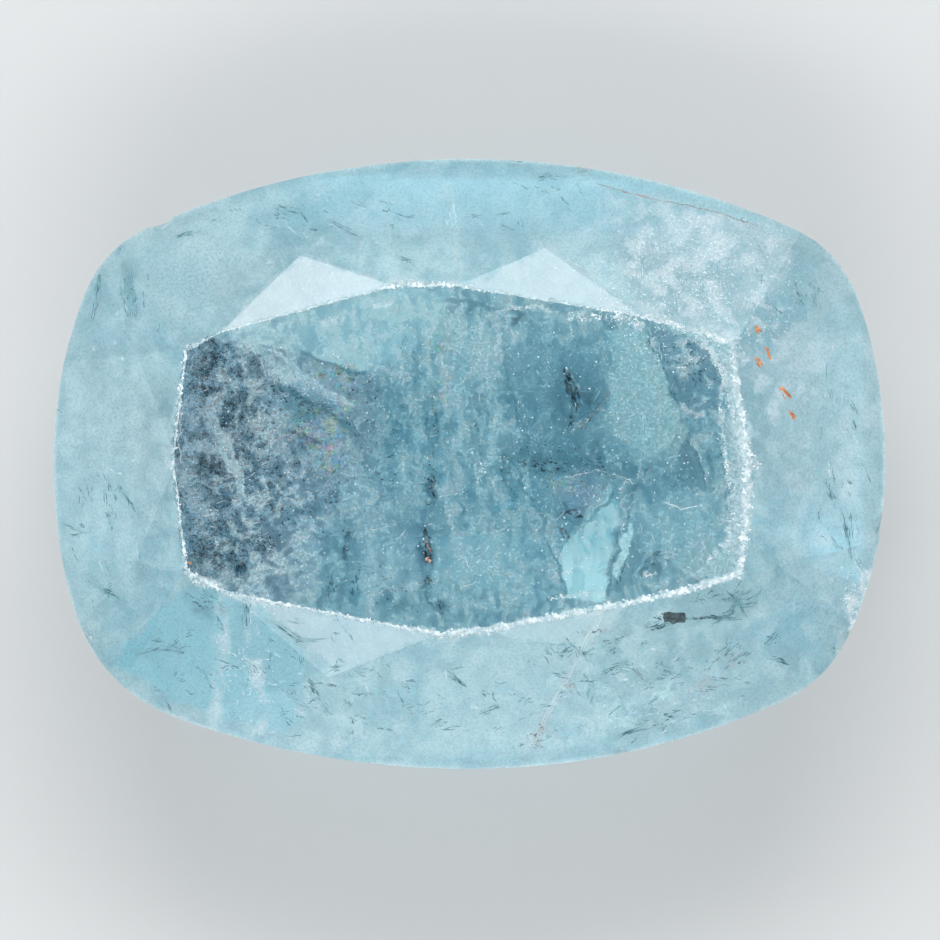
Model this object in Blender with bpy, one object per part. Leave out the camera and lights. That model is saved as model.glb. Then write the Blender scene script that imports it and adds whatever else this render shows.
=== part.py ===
"""A cushion-cut aquamarine: one faceted stone with a brilliant crown, a step-cut pavilion and a flat culet.

The stone is shaped as a cutter shapes it. A preform with the girdle's outline is made first, and each
facet is then one flat cut through it. Chips and nicks are broken out of the edges last.
The origin is on the culet, under the middle of the outline. +Z runs out of the table and +X along the stone.
"""

import math
import random

import bmesh
import bpy
from mathutils import Matrix, Vector

MM = 0.001

# Driving dimensions
LENGTH = 16.0 * MM
WIDTH = 11.73 * MM
CROWN_HEIGHT = 1.55 * MM
GIRDLE_THICKNESS = 0.42 * MM
PAVILION_DEPTH = 4.45 * MM

GIRDLE_TOP = PAVILION_DEPTH + GIRDLE_THICKNESS
TABLE_Z = GIRDLE_TOP + CROWN_HEIGHT

# The outline's quarters, anticlockwise from +X: radius of the long side, of the end and of the corner
QUARTERS = (
    (15.12 * MM, 9.86 * MM, 2.23 * MM),
    (15.27 * MM, 9.33 * MM, 2.41 * MM),
    (16.69 * MM, 10.21 * MM, 3.20 * MM),
    (14.53 * MM, 8.20 * MM, 2.66 * MM),
)
QUARTER_SIGNS = ((1, 1), (-1, 1), (-1, -1), (1, -1))
QUARTER_STEPS = 30

# Crown mains: azimuth in degrees, and how far from the middle each one meets the table
MAINS = {
    "right": (0.0, 5.31 * MM),
    "top_right_corner": (38.0, 5.43 * MM),
    "top_right": (74.5, 3.585 * MM),
    "top": (90.0, 3.39 * MM),
    "top_left": (118.0, 4.445 * MM),
    "top_left_corner": (146.0, 5.735 * MM),
    "left": (180.0, 5.64 * MM),
    "bottom_left_corner": (208.0, 5.775 * MM),
    "bottom_left_end": (240.0, 4.586 * MM),
    "bottom_left": (244.5, 4.187 * MM),
    "bottom": (274.6, 3.175 * MM),
    "bottom_right": (287.0, 3.521 * MM),
    "bottom_right_end": (296.0, 4.131 * MM),
    "bottom_right_corner": (330.0, 5.558 * MM),
}

# Crown stars: azimuth, distance from the middle at the table, slope, and the mains on either side
STARS = (
    (104.9, 3.634 * MM, 19.6, "top", "top_left"),
    (80.8, 3.297 * MM, 24.6, "top_right", "top"),
    (258.8, 3.280 * MM, 17.3, "bottom_left", "bottom"),
    (281.3, 3.171 * MM, 24.3, "bottom", "bottom_right"),
    (173.0, 5.620 * MM, 26.5, "top_left_corner", "left"),
    (186.8, 5.600 * MM, 27.0, "left", "bottom_left_corner"),
    (8.4, 5.290 * MM, 25.0, "right", "top_right_corner"),
    (355.0, 5.340 * MM, 26.0, "bottom_right_corner", "right"),
)

# The narrow bevel along the ridge at the bottom left: its width at the table and at the girdle
BEVEL_WIDTHS = (0.12 * MM, 0.42 * MM)

# Pavilion steps from the girdle down: slope, and how far down each step reaches
SIDE_STEPS = ((60.0, 1.35 * MM), (46.0, 1.45 * MM), (36.0, 1.65 * MM))
RIGHT_END_STEPS = ((58.0, 1.35 * MM), (43.0, 1.45 * MM), (36.0, 1.65 * MM))
LEFT_END_STEPS = ((53.0, 1.35 * MM), (45.0, 1.45 * MM), (41.0, 1.65 * MM))
PAVILION = (
    (RIGHT_END_STEPS, (0.0, 38.0, 322.0)),
    (SIDE_STEPS, (66.0, 90.0, 114.0, 246.0, 270.0, 294.0)),
    (LEFT_END_STEPS, (142.0, 180.0, 218.0)),
)

# Chips broken out of the table's edge, and the nicks in the girdle: angle round the stone, and size
CHIP_SPACING = (0.22 * MM, 0.60 * MM)
CHIP_RADIUS = (0.07 * MM, 0.18 * MM)
CHIP_LIFT = 0.5
GIRDLE_NICKS = (
    (69.6, 0.20 * MM),
    (140.5, 0.26 * MM),
    (352.0, 0.24 * MM),
    (334.0, 0.30 * MM),
    (205.5, 0.22 * MM),
    (297.0, 0.17 * MM),
)
SEED = 27
MERGE = 0.002 * MM


def direction(azimuth):
    """The level unit vector at an azimuth in degrees."""
    angle = math.radians(azimuth)
    return Vector((math.cos(angle), math.sin(angle), 0.0))


def quarter_points(side_radius, end_radius, corner_radius):
    """One quarter of a cushion from the middle of its end to the middle of its side, as three tangent arcs."""
    end_centre = Vector((LENGTH / 2 - end_radius, 0.0))
    side_centre = Vector((0.0, WIDTH / 2 - side_radius))
    across = side_centre - end_centre
    to_end = end_radius - corner_radius
    to_side = side_radius - corner_radius
    along = (to_end**2 - to_side**2 + across.length_squared) / (2 * across.length)
    unit = across.normalized()
    aside = math.sqrt(to_end**2 - along**2)
    corner = end_centre + unit * along + Vector((-unit.y, unit.x)) * aside
    low = math.atan2(corner.y - end_centre.y, corner.x - end_centre.x)
    high = math.atan2(corner.y - side_centre.y, corner.x - side_centre.x)
    arcs = (
        (end_centre, end_radius, 0.0, low),
        (corner, corner_radius, low, high),
        (side_centre, side_radius, high, math.pi / 2),
    )
    total = sum(radius * (end - start) for _, radius, start, end in arcs)
    points = []
    for number in range(QUARTER_STEPS + 1):
        left = total * number / QUARTER_STEPS
        for centre, radius, start, end in arcs:
            angle = start + left / radius
            if angle <= end or centre is side_centre:
                break
            left -= radius * (end - start)
        points.append(centre + radius * Vector((math.cos(angle), math.sin(angle))))
    return points


def outline():
    """The girdle's outline, anticlockwise from +X."""
    points = []
    for radii, (x_sign, y_sign) in zip(QUARTERS, QUARTER_SIGNS):
        quarter = [Vector((p.x * x_sign, p.y * y_sign, 0.0)) for p in quarter_points(*radii)]
        if x_sign * y_sign < 0:
            quarter.reverse()
        points += quarter[:-1]
    return points


def reach(points, azimuth):
    """How far the outline reaches from the middle along an azimuth."""
    return max(point.dot(direction(azimuth)) for point in points)


def sloped_plane(azimuth, slope, distance, height):
    """A facet's plane as (point, outward normal). It passes height at a distance from the middle."""
    lean = math.radians(slope)
    level = direction(azimuth)
    upward = Vector((0.0, 0.0, 1.0)) * math.cos(lean)
    return level * distance + Vector((0.0, 0.0, height)), level * math.sin(lean) + upward


def meeting_point(planes):
    """The point where three planes meet."""
    normals = Matrix([normal for _, normal in planes])
    offsets = Vector([point.dot(normal) for point, normal in planes])
    return normals.inverted() @ offsets


def ridge_bevel(first, second):
    """The plane of a thin bevel ground along the ridge between two crown mains, widening to the girdle."""
    normal = (first[1] + second[1]).normalized()
    depth_for_width = math.tan(first[1].angle(second[1]) / 2) / 2
    ends = []
    for height, width in zip((TABLE_Z, GIRDLE_TOP), BEVEL_WIDTHS):
        level = (Vector((0.0, 0.0, height)), Vector((0.0, 0.0, 1.0)))
        ends.append(meeting_point((first, second, level)) - normal * width * depth_for_width)
    run = ends[1] - ends[0]
    across = normal.cross(run)
    return ends[0], run.cross(across).normalized()


def crown_planes(points):
    """The crown's mains, its stars, and the break facets that run from each star's tip to the girdle."""
    mains = {}
    for name, (azimuth, distance) in MAINS.items():
        slope = math.degrees(math.atan2(CROWN_HEIGHT, reach(points, azimuth) - distance))
        mains[name] = sloped_plane(azimuth, slope, distance, TABLE_Z)
    planes = [*mains.values(), ridge_bevel(mains["bottom_left_corner"], mains["bottom_left_end"])]
    for azimuth, distance, slope, first, second in STARS:
        star = sloped_plane(azimuth, slope, distance, TABLE_Z)
        planes.append(star)
        tip = meeting_point((star, mains[first], mains[second]))
        for neighbour in (first, second):
            turn = (MAINS[neighbour][0] - azimuth + 180.0) % 360.0 - 180.0
            between = azimuth + turn / 2
            at_girdle = reach(points, between)
            run = at_girdle - tip.dot(direction(between))
            break_slope = math.degrees(math.atan2(tip.z - GIRDLE_TOP, run))
            planes.append(sloped_plane(between, break_slope, at_girdle, GIRDLE_TOP))
    return planes


def pavilion_planes(points):
    """The pavilion's steps, each facet of a step starting where the one above it ends."""
    planes = []
    for steps, azimuths in PAVILION:
        for azimuth in azimuths:
            distance = reach(points, azimuth)
            height = PAVILION_DEPTH
            for slope, drop in steps:
                planes.append(sloped_plane(azimuth, 180.0 - slope, distance, height))
                distance -= drop / math.tan(math.radians(slope))
                height -= drop
    return planes


def preform(points):
    """A slab with the girdle's outline, from the culet to the table, as a mesh."""
    curve = bpy.data.curves.new("preform", "CURVE")
    curve.dimensions = "2D"
    curve.fill_mode = "BOTH"
    curve.extrude = TABLE_Z / 2
    spline = curve.splines.new("POLY")
    spline.points.add(len(points) - 1)
    for spline_point, point in zip(spline.points, points):
        spline_point.co = (*point, 1.0)
    spline.use_cyclic_u = True
    slab = bpy.data.objects.new("preform", curve)
    bpy.context.scene.collection.objects.link(slab)
    bpy.context.view_layer.update()
    evaluated = slab.evaluated_get(bpy.context.evaluated_depsgraph_get())
    mesh = bpy.data.meshes.new_from_object(evaluated)
    mesh.transform(Matrix.Translation((0.0, 0.0, TABLE_Z / 2)))
    bpy.data.objects.remove(slab)
    return mesh


def cut_facet(shape, point, normal):
    """Grinds one flat facet: what lies outside the plane goes, and the cut is closed with one face."""
    everything = shape.verts[:] + shape.edges[:] + shape.faces[:]
    cut = bmesh.ops.bisect_plane(
        shape, geom=everything, dist=MERGE / 4, plane_co=point, plane_no=normal, clear_outer=True
    )
    rim = [item for item in cut["geom_cut"] if isinstance(item, bmesh.types.BMEdge) and item.is_boundary]
    if rim:
        bmesh.ops.edgeloop_fill(shape, edges=rim)
        bmesh.ops.remove_doubles(shape, verts=shape.verts[:], dist=MERGE)


def faceted_stone(points):
    """The whole cut stone before any damage, as a bmesh with one face to each facet."""
    shape = bmesh.new()
    shape.from_mesh(preform(points))
    bmesh.ops.remove_doubles(shape, verts=shape.verts[:], dist=MERGE)
    flat = math.radians(0.1)
    bmesh.ops.dissolve_limit(shape, angle_limit=flat, verts=shape.verts[:], edges=shape.edges[:])
    for point, normal in crown_planes(points) + pavilion_planes(points):
        cut_facet(shape, point, normal)
    bmesh.ops.recalc_face_normals(shape, faces=shape.faces[:])
    for face in shape.faces:
        face.smooth = False
    return shape


def add_chip(shape, centre, radius, dice):
    """Adds one small rough-sided lump to a cutter's bmesh."""
    turn = Matrix.Rotation(dice.uniform(0, math.tau), 4, Vector([dice.uniform(-1, 1) for _ in range(3)]))
    lump = bmesh.ops.create_icosphere(shape, subdivisions=1, radius=radius)
    for vertex in lump["verts"]:
        vertex.co = centre + turn @ (vertex.co * dice.uniform(0.75, 1.25))


def table_chip_cutter(shape, dice):
    """Lumps strung along the table's edge, where the polish has crumbled."""
    table = max(shape.faces, key=lambda face: face.calc_center_median().z)
    lumps = bmesh.new()
    for loop in table.loops:
        start = loop.vert.co
        side = loop.link_loop_next.vert.co - start
        travelled = dice.uniform(*CHIP_SPACING)
        while travelled < side.length:
            radius = dice.uniform(*CHIP_RADIUS)
            lift = Vector((0.0, 0.0, radius * CHIP_LIFT))
            add_chip(lumps, start + side.normalized() * travelled + lift, radius, dice)
            travelled += dice.uniform(*CHIP_SPACING)
    return lumps


def girdle_nick_cutter(points, dice):
    """Lumps round the girdle, where the rim was knocked."""
    lumps = bmesh.new()
    for angle, radius in GIRDLE_NICKS:
        rim_point = max(points, key=lambda point: point.normalized().dot(direction(angle)))
        height = PAVILION_DEPTH + dice.uniform(0.7, 1.1) * GIRDLE_THICKNESS
        centre = rim_point * (1.0 + 0.5 * radius / rim_point.length)
        add_chip(lumps, Vector((centre.x, centre.y, height)), radius, dice)
    return lumps


def new_object(name, shape, collection):
    """Turns a bmesh into a flat-shaded object in a collection."""
    mesh = bpy.data.meshes.new(name)
    shape.to_mesh(mesh)
    shape.free()
    made = bpy.data.objects.new(name, mesh)
    collection.objects.link(made)
    return made


def break_out(stone, name, lumps, cutters):
    """Takes a cutter's lumps out of the stone."""
    cutter = new_object(name, lumps, cutters)
    cutter.hide_render = True
    cutter.display_type = "WIRE"
    modifier = stone.modifiers.new(name, "BOOLEAN")
    modifier.object = cutter
    modifier.operation = "DIFFERENCE"
    modifier.solver = "EXACT"
    modifier.use_self = True


def aquamarine_material():
    """Clear pale blue-green beryl."""
    material = bpy.data.materials.new("aquamarine")
    material.use_nodes = True
    shader = material.node_tree.nodes["Principled BSDF"]
    shader.inputs["Base Color"].default_value = (0.55, 0.83, 0.88, 1.0)
    shader.inputs["Metallic"].default_value = 0.0
    shader.inputs["Roughness"].default_value = 0.08
    shader.inputs["IOR"].default_value = 1.577
    shader.inputs["Transmission Weight"].default_value = 1.0
    return material


def main():
    for old in list(bpy.data.objects):
        bpy.data.objects.remove(old)
    parts = bpy.data.collections.new("cushion_aquamarine")
    cutters = bpy.data.collections.new("cutters")
    bpy.context.scene.collection.children.link(parts)
    bpy.context.scene.collection.children.link(cutters)
    dice = random.Random(SEED)
    points = outline()
    shape = faceted_stone(points)
    table_chips = table_chip_cutter(shape, dice)
    girdle_nicks = girdle_nick_cutter(points, dice)
    stone = new_object("aquamarine", shape, parts)
    stone.data.materials.append(aquamarine_material())
    break_out(stone, "table_chips", table_chips, cutters)
    break_out(stone, "girdle_nicks", girdle_nicks, cutters)


main()
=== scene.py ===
import math
import random

import bmesh
import bpy
import numpy as np
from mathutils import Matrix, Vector, noise
from mathutils.bvhtree import BVHTree
from mathutils.geometry import delaunay_2d_cdt


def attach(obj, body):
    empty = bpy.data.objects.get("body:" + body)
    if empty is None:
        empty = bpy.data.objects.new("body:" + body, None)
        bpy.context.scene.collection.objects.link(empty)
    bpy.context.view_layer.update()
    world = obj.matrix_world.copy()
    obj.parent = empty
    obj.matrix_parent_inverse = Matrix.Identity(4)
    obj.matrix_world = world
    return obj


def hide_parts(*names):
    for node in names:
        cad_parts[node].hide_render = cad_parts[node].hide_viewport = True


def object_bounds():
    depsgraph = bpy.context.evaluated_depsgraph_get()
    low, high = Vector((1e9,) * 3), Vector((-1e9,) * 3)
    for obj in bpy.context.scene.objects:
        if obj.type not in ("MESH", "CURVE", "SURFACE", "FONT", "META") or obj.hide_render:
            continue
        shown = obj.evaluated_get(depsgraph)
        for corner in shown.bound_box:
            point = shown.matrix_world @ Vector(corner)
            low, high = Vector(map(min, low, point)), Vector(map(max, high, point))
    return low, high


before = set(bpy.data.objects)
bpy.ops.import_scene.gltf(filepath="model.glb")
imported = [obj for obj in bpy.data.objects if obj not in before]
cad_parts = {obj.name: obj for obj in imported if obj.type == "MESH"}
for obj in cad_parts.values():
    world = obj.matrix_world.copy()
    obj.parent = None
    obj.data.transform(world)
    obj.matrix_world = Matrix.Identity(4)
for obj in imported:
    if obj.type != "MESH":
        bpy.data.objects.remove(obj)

MM = 0.001
CAD_BOX = [list(corner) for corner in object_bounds()]
TOP = CAD_BOX[1][2]
GIRDLE = 4.87 * MM
# The polished table lies this far under the highest crumbs of its worn rim
TABLE_DROP = 0.01 * MM
# Widths of the small triangles that the crown and the table are painted on
CROWN_STEP = 0.08 * MM
TABLE_STEP = 0.035 * MM
# The girdle's nicks: azimuth in degrees and radius in millimetres
GIRDLE_NICKS = ((69.6, 0.2), (140.5, 0.26), (352.0, 0.24), (334.0, 0.3), (205.5, 0.22), (297.0, 0.17))
# How far the nicks reach down, in millimetres, and the least cosine between a nick and the rim beside it
NICK_DEPTH = 0.45
NICK_SEARCH = 0.9999
# The photograph's width, its middle, one of its pixels on the stone, and the pixel over the stone's middle
IMAGE_WIDTH = 940
IMAGE_MIDDLE = 470
PIXEL = 16.0 * MM / 832
PIXEL_MM = PIXEL / MM
MIDDLE = (469.5, 464.0)
# Height of a row of equal-sided triangles of width 1
ROW_HEIGHT = 0.866
# Height in millimetres from which points of the photograph are dropped on the stone
ABOVE = 20.0
# Thickness in millimetres of the flat flakes
SHARD_THICKNESS = 0.005
FILM_THICKNESS = 0.003
BLOCK_THICKNESS = 0.05
# How far away the lamps and the camera are
LAMP_DISTANCE = 80 * MM
CAMERA_DISTANCE = 300 * MM


def spot(px, py):
    """The place on the stone, seen from above, of a point of the photograph."""
    return Vector(((px - MIDDLE[0]) * PIXEL, (MIDDLE[1] - py) * PIXEL))


# Shader helpers

def add(tree, kind, **values):
    """Adds a shader node. A value that is an output is linked, any other is set."""
    made = tree.nodes.new(kind)
    for name, value in values.items():
        if name.startswith("set_"):
            setattr(made, name[4:], value)
            continue
        key = int(name[1:]) if name[0] == "i" and name[1:].isdigit() else name.replace("_", " ")
        socket = made.inputs[key]
        if isinstance(value, bpy.types.NodeSocket):
            tree.links.new(value, socket)
        else:
            socket.default_value = value
    return made


def millimetres(tree):
    """Object coordinates in millimetres."""
    where = add(tree, "ShaderNodeTexCoord").outputs["Object"]
    return add(tree, "ShaderNodeVectorMath", set_operation="SCALE", i0=where, Scale=1000.0).outputs[0]


def noise_value(tree, where, scale, detail=3.0, roughness=0.55):
    """A noise value from 0 to 1 at a scale per millimetre."""
    made = add(tree, "ShaderNodeTexNoise", Vector=where, Scale=scale, Detail=detail, Roughness=roughness)
    return made.outputs["Fac"]


def ramp(tree, value, low, high, to_low=0.0, to_high=1.0):
    """The value's range from low to high, spread smoothly over another range."""
    made = add(tree, "ShaderNodeMapRange", Value=value)
    made.interpolation_type = "SMOOTHSTEP"
    for name, number in zip(("From Min", "From Max", "To Min", "To Max"), (low, high, to_low, to_high)):
        made.inputs[name].default_value = number
    return made.outputs[0]


def maths(tree, operation, first, second):
    """One sum on two values."""
    return add(tree, "ShaderNodeMath", set_operation=operation, i0=first, i1=second).outputs[0]


def blend(tree, share, first, second):
    """A colour between two colours."""
    made = tree.nodes.new("ShaderNodeMix")
    made.data_type = "RGBA"
    for key, value in ((0, share), (6, first), (7, second)):
        if isinstance(value, bpy.types.NodeSocket):
            tree.links.new(value, made.inputs[key])
        else:
            made.inputs[key].default_value = value
    return made.outputs[2]


def new_material(name, **values):
    """A material with one Principled shader, that shader, and the node tree."""
    material = bpy.data.materials.new(name)
    material.use_nodes = True
    shader = material.node_tree.nodes["Principled BSDF"]
    for key, value in values.items():
        shader.inputs[key.replace("_", " ")].default_value = value
    return material, shader, material.node_tree


# The stone's shape

def whole_stone():
    """The CAD stone with its chips filled, as a bmesh in millimetres with one flat face to each facet."""
    shape = bmesh.new()
    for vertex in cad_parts["aquamarine"].data.vertices:
        shape.verts.new(vertex.co / MM)
    made = bmesh.ops.convex_hull(shape, input=shape.verts[:])
    inner = [item for item in made["geom_interior"] if isinstance(item, bmesh.types.BMVert)]
    bmesh.ops.delete(shape, geom=inner, context="VERTS")
    bmesh.ops.remove_doubles(shape, verts=shape.verts[:], dist=0.0005)
    table = Vector((0, 0, (TOP - TABLE_DROP) / MM))
    everything = shape.verts[:] + shape.edges[:] + shape.faces[:]
    cut = bmesh.ops.bisect_plane(
        shape, geom=everything, dist=0.0002, plane_co=table, plane_no=(0, 0, 1), clear_outer=True
    )
    rim = [item for item in cut["geom_cut"] if isinstance(item, bmesh.types.BMEdge) and item.is_boundary]
    bmesh.ops.edgeloop_fill(shape, edges=rim)
    flat = math.radians(0.3)
    bmesh.ops.dissolve_limit(shape, angle_limit=flat, verts=shape.verts[:], edges=shape.edges[:])
    bmesh.ops.recalc_face_normals(shape, faces=shape.faces[:])
    return shape


def knock_girdle(shape):
    """Presses the small nicks of the CAD stone into the girdle."""
    for azimuth, radius in GIRDLE_NICKS:
        turn = math.radians(azimuth)
        way = Vector((math.cos(turn), math.sin(turn)))
        beside = [v.co.xy for v in shape.verts if v.co.xy.normalized().dot(way) > NICK_SEARCH]
        rim = max(beside, key=lambda place: place.length)
        centre = rim * (1.0 + 0.5 * radius / rim.length)
        for vertex in shape.verts:
            aside = vertex.co.xy - centre
            reach = radius * (1.0 + 0.5 * noise.noise(Vector((vertex.co.x * 9, vertex.co.y * 9, 1.7))))
            if aside.length < reach and vertex.co.z > GIRDLE / MM - NICK_DEPTH:
                moved = centre + aside.normalized() * reach
                vertex.co.x, vertex.co.y = moved


def split_edges(shape, faces, step):
    """Puts points along the edges of faces, at most a step apart."""
    for edge in {edge for face in faces for edge in face.edges}:
        count = math.ceil(edge.calc_length() / step)
        first, last = edge.verts[0].co.copy(), edge.verts[1].co.copy()
        start = edge.verts[0]
        for number in range(1, count):
            edge, point = bmesh.utils.edge_split(edge, start, 1.0 / (count - number + 1))
            point.co = first.lerp(last, number / count)
            edge = next(item for item in point.link_edges if start not in item.verts)
            start = point


def fill_finely(shape, face, step):
    """Fills one flat facet with small triangles."""
    normal, origin = face.normal.copy(), face.calc_center_median()
    across = normal.orthogonal().normalized()
    upward = normal.cross(across)
    rim = list(face.verts)
    flat = [((v.co - origin).dot(across), (v.co - origin).dot(upward)) for v in rim]
    count = len(flat)
    corners = np.array(flat)
    low, high = corners.min(axis=0), corners.max(axis=0)
    columns = np.arange(low[0], high[0], step)
    rows = np.arange(low[1], high[1], step * ROW_HEIGHT)
    grid = [(x + (row % 2) * step / 2, y) for row, y in enumerate(rows) for x in columns]
    grid = np.array(grid).reshape(-1, 2)
    inside = np.full(len(grid), True)
    for number in range(count):
        start, end = corners[number], corners[(number + 1) % count]
        side = (end - start) / np.linalg.norm(end - start)
        inside &= side[0] * (grid[:, 1] - start[1]) - side[1] * (grid[:, 0] - start[0]) > step * 0.4
    points = [Vector(point) for point in flat] + [Vector(point) for point in grid[inside]]
    sides = [(number, (number + 1) % count) for number in range(count)]
    found = delaunay_2d_cdt(points, sides, [], 1, 1e-6)
    places, triangles, origins = found[0], found[2], found[3]
    verts = {}
    for number, came_from in enumerate(origins):
        known = [item for item in came_from if item < count]
        if known:
            verts[number] = rim[known[0]]
        elif came_from:
            place = places[number]
            verts[number] = shape.verts.new(origin + across * place[0] + upward * place[1])
    shape.faces.remove(face)
    for triangle in triangles:
        if len({verts[number] for number in triangle}) == 3:
            shape.faces.new([verts[number] for number in triangle])


def smooth_step(value, low, high):
    """0 below low and 1 above high, with a soft step between."""
    share = np.clip((value - low) / (high - low), 0.0, 1.0)
    return share * share * (3.0 - 2.0 * share)


def finely_faced_stone():
    """The stone's mesh in metres, with small triangles on its upper side, and the table's corners."""
    shape = whole_stone()
    shape.normal_update()
    upper = [face for face in shape.faces if face.normal.z > 0.3]
    table = max(upper, key=lambda face: face.normal.z)
    corners = [(MIDDLE[0] + v.co.x * MM / PIXEL, MIDDLE[1] - v.co.y * MM / PIXEL) for v in table.verts]
    split_edges(shape, [face for face in shape.faces if abs(face.normal.z) < 0.3], CROWN_STEP / MM)
    split_edges(shape, upper, TABLE_STEP / MM)
    for facet in upper:
        fill_finely(shape, facet, (TABLE_STEP if facet is table else CROWN_STEP) / MM)
    knock_girdle(shape)
    shape.normal_update()
    bmesh.ops.scale(shape, vec=(MM, MM, MM), verts=shape.verts[:])
    for face in shape.faces:
        face.smooth = False
    mesh = bpy.data.meshes.new("stone")
    shape.to_mesh(mesh)
    shape.free()
    return mesh, corners


# The stone's finish

# Finish of each zone: tint, share of cloudiness, roughness
TABLE_FINISH = ((0.66, 0.96, 1.0), 0.12, 0.0)
CROWN_FINISH = ((0.54, 0.85, 0.93), 0.32, 0.28)
PAVILION_FINISH = ((0.93, 0.98, 1.0), 0.0, 0.22)
GIRDLE_FINISH = ((0.66, 0.92, 0.98), 0.35, 0.4)
CULET_FINISH = ((0.84, 0.96, 1.0), 0.65, 0.6)
# The worn table edge at each azimuth round the stone, in degrees: how far the crumbling reaches outwards
# and inwards, in pixels of the photograph, and how dense it is
RIM = (
    (-176, 1.5, 0.8, 0.7), (-162, 1.5, 1.5, 0.8), (-156, 5.0, 3.0, 0.8), (-150, 3.0, 2.0, 0.9),
    (-140, 1.5, 1.5, 0.9), (-120, 1.5, 2.0, 0.9), (-103, 3.5, 3.0, 0.9), (-90, 3.5, 4.0, 0.9),
    (-75, 2.5, 4.0, 0.8), (-60, 3.0, 4.0, 0.8), (-45, 3.0, 4.0, 0.8), (-33, 3.0, 4.5, 0.8),
    (-24, 3.0, 5.0, 0.7), (-16, 3.0, 6.0, 0.5), (-8, 4.0, 6.0, 0.45), (0, 5.0, 6.0, 0.45),
    (8, 3.0, 5.0, 0.45), (16, 2.0, 5.0, 0.45), (24, 2.0, 4.0, 0.5), (33, 3.0, 2.0, 0.7),
    (41, 1.5, 2.5, 0.6), (50, 1.0, 1.5, 0.6), (62, 1.0, 1.0, 0.6), (78, 1.0, 1.0, 0.6), (92, 2.0, 1.5, 0.8),
    (98, 4.0, 2.0, 0.8), (106, 4.5, 1.5, 0.8), (118, 1.5, 1.2, 0.8), (135, 0.9, 0.9, 0.8),
    (154, 1.0, 1.0, 0.8), (158, 4.0, 1.5, 0.8), (163, 1.5, 1.0, 0.6), (166, 5.0, 1.5, 0.7),
    (171, 1.5, 1.0, 0.5), (178, 4.0, 1.5, 0.4), (184, 1.5, 1.0, 0.6),
)
# The rim's crumbs away from the table's edge: a line on the photograph, its width, how many, and their size
CRUMB_LINES = (
    (((565, 318), (592, 317), (627, 319), (638, 324)), 7, 130, (0.03, 0.07)),
    (((325, 321), (345, 317)), 5, 24, (0.025, 0.05)), (((375, 306), (392, 303)), 4, 16, (0.025, 0.05)),
    (((500, 312), (537, 306), (560, 312)), 3, 60, (0.02, 0.04)),
    (((640, 315), (662, 320), (682, 328), (702, 334), (725, 336)), 3, 190, (0.025, 0.06)),
    (((700, 340), (715, 358), (724, 385)), 8, 110, (0.025, 0.07)),
    (((717, 395), (722, 440), (728, 480), (731, 515), (725, 542), (707, 562)), 5, 200, (0.025, 0.06)),
    (((725, 392), (737, 430), (744, 467)), 4, 100, (0.025, 0.06)),
    (((744, 467), (746, 520), (742, 555), (733, 570)), 6, 150, (0.03, 0.08)),
    (((752, 455), (756, 470)), 6, 30, (0.03, 0.07)), (((166, 452), (171, 470)), 5, 24, (0.02, 0.05)),
    (((392, 284), (412, 283), (440, 286)), 4, 70, (0.03, 0.07)),
    (((640, 577), (655, 573)), 4, 30, (0.03, 0.06)),
    (((236, 592), (250, 601), (290, 606)), 3, 60, (0.03, 0.06)),
    (((549, 598), (600, 590)), 4, 50, (0.03, 0.06)),
    (((430, 634), (455, 636), (480, 630)), 5, 70, (0.03, 0.07)),
    (((192, 574), (200, 585), (214, 582)), 5, 50, (0.03, 0.07)),
)
# Broken dark patches in the stone: middle, half length and half width, direction of the length in degrees
# clockwise, how many plates, and how long those are, in pixels of the photograph
BLACK_SHARDS = (
    ((571, 392), (24, 6), 75, 30, (5, 13)), ((569, 425), (10, 3), 100, 8, (4, 8)),
    ((434, 484), (13, 2), 88, 9, (5, 10)), ((427, 546), (20, 4), 90, 24, (5, 13)),
    ((429, 581), (9, 4), 75, 9, (4, 9)), ((309, 440), (12, 5), 20, 16, (4, 9)),
    ((213, 467), (15, 7), 15, 20, (3, 8)), ((234, 436), (9, 6), 40, 12, (3, 8)),
    ((206, 384), (12, 5), 85, 12, (3, 9)), ((213, 357), (12, 6), 80, 12, (3, 9)),
    ((241, 569), (6, 4), 90, 8, (3, 6)), ((209, 558), (11, 6), 5, 14, (3, 8)),
    ((567, 512), (16, 4), 15, 14, (5, 11)), ((566, 536), (14, 4), 50, 12, (5, 11)),
    ((543, 466), (24, 7), 10, 20, (3, 8)), ((511, 319), (9, 4), 5, 8, (4, 8)),
    ((262, 545), (14, 7), 20, 10, (3, 7)), ((225, 520), (24, 10), 30, 16, (3, 8)),
)
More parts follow.
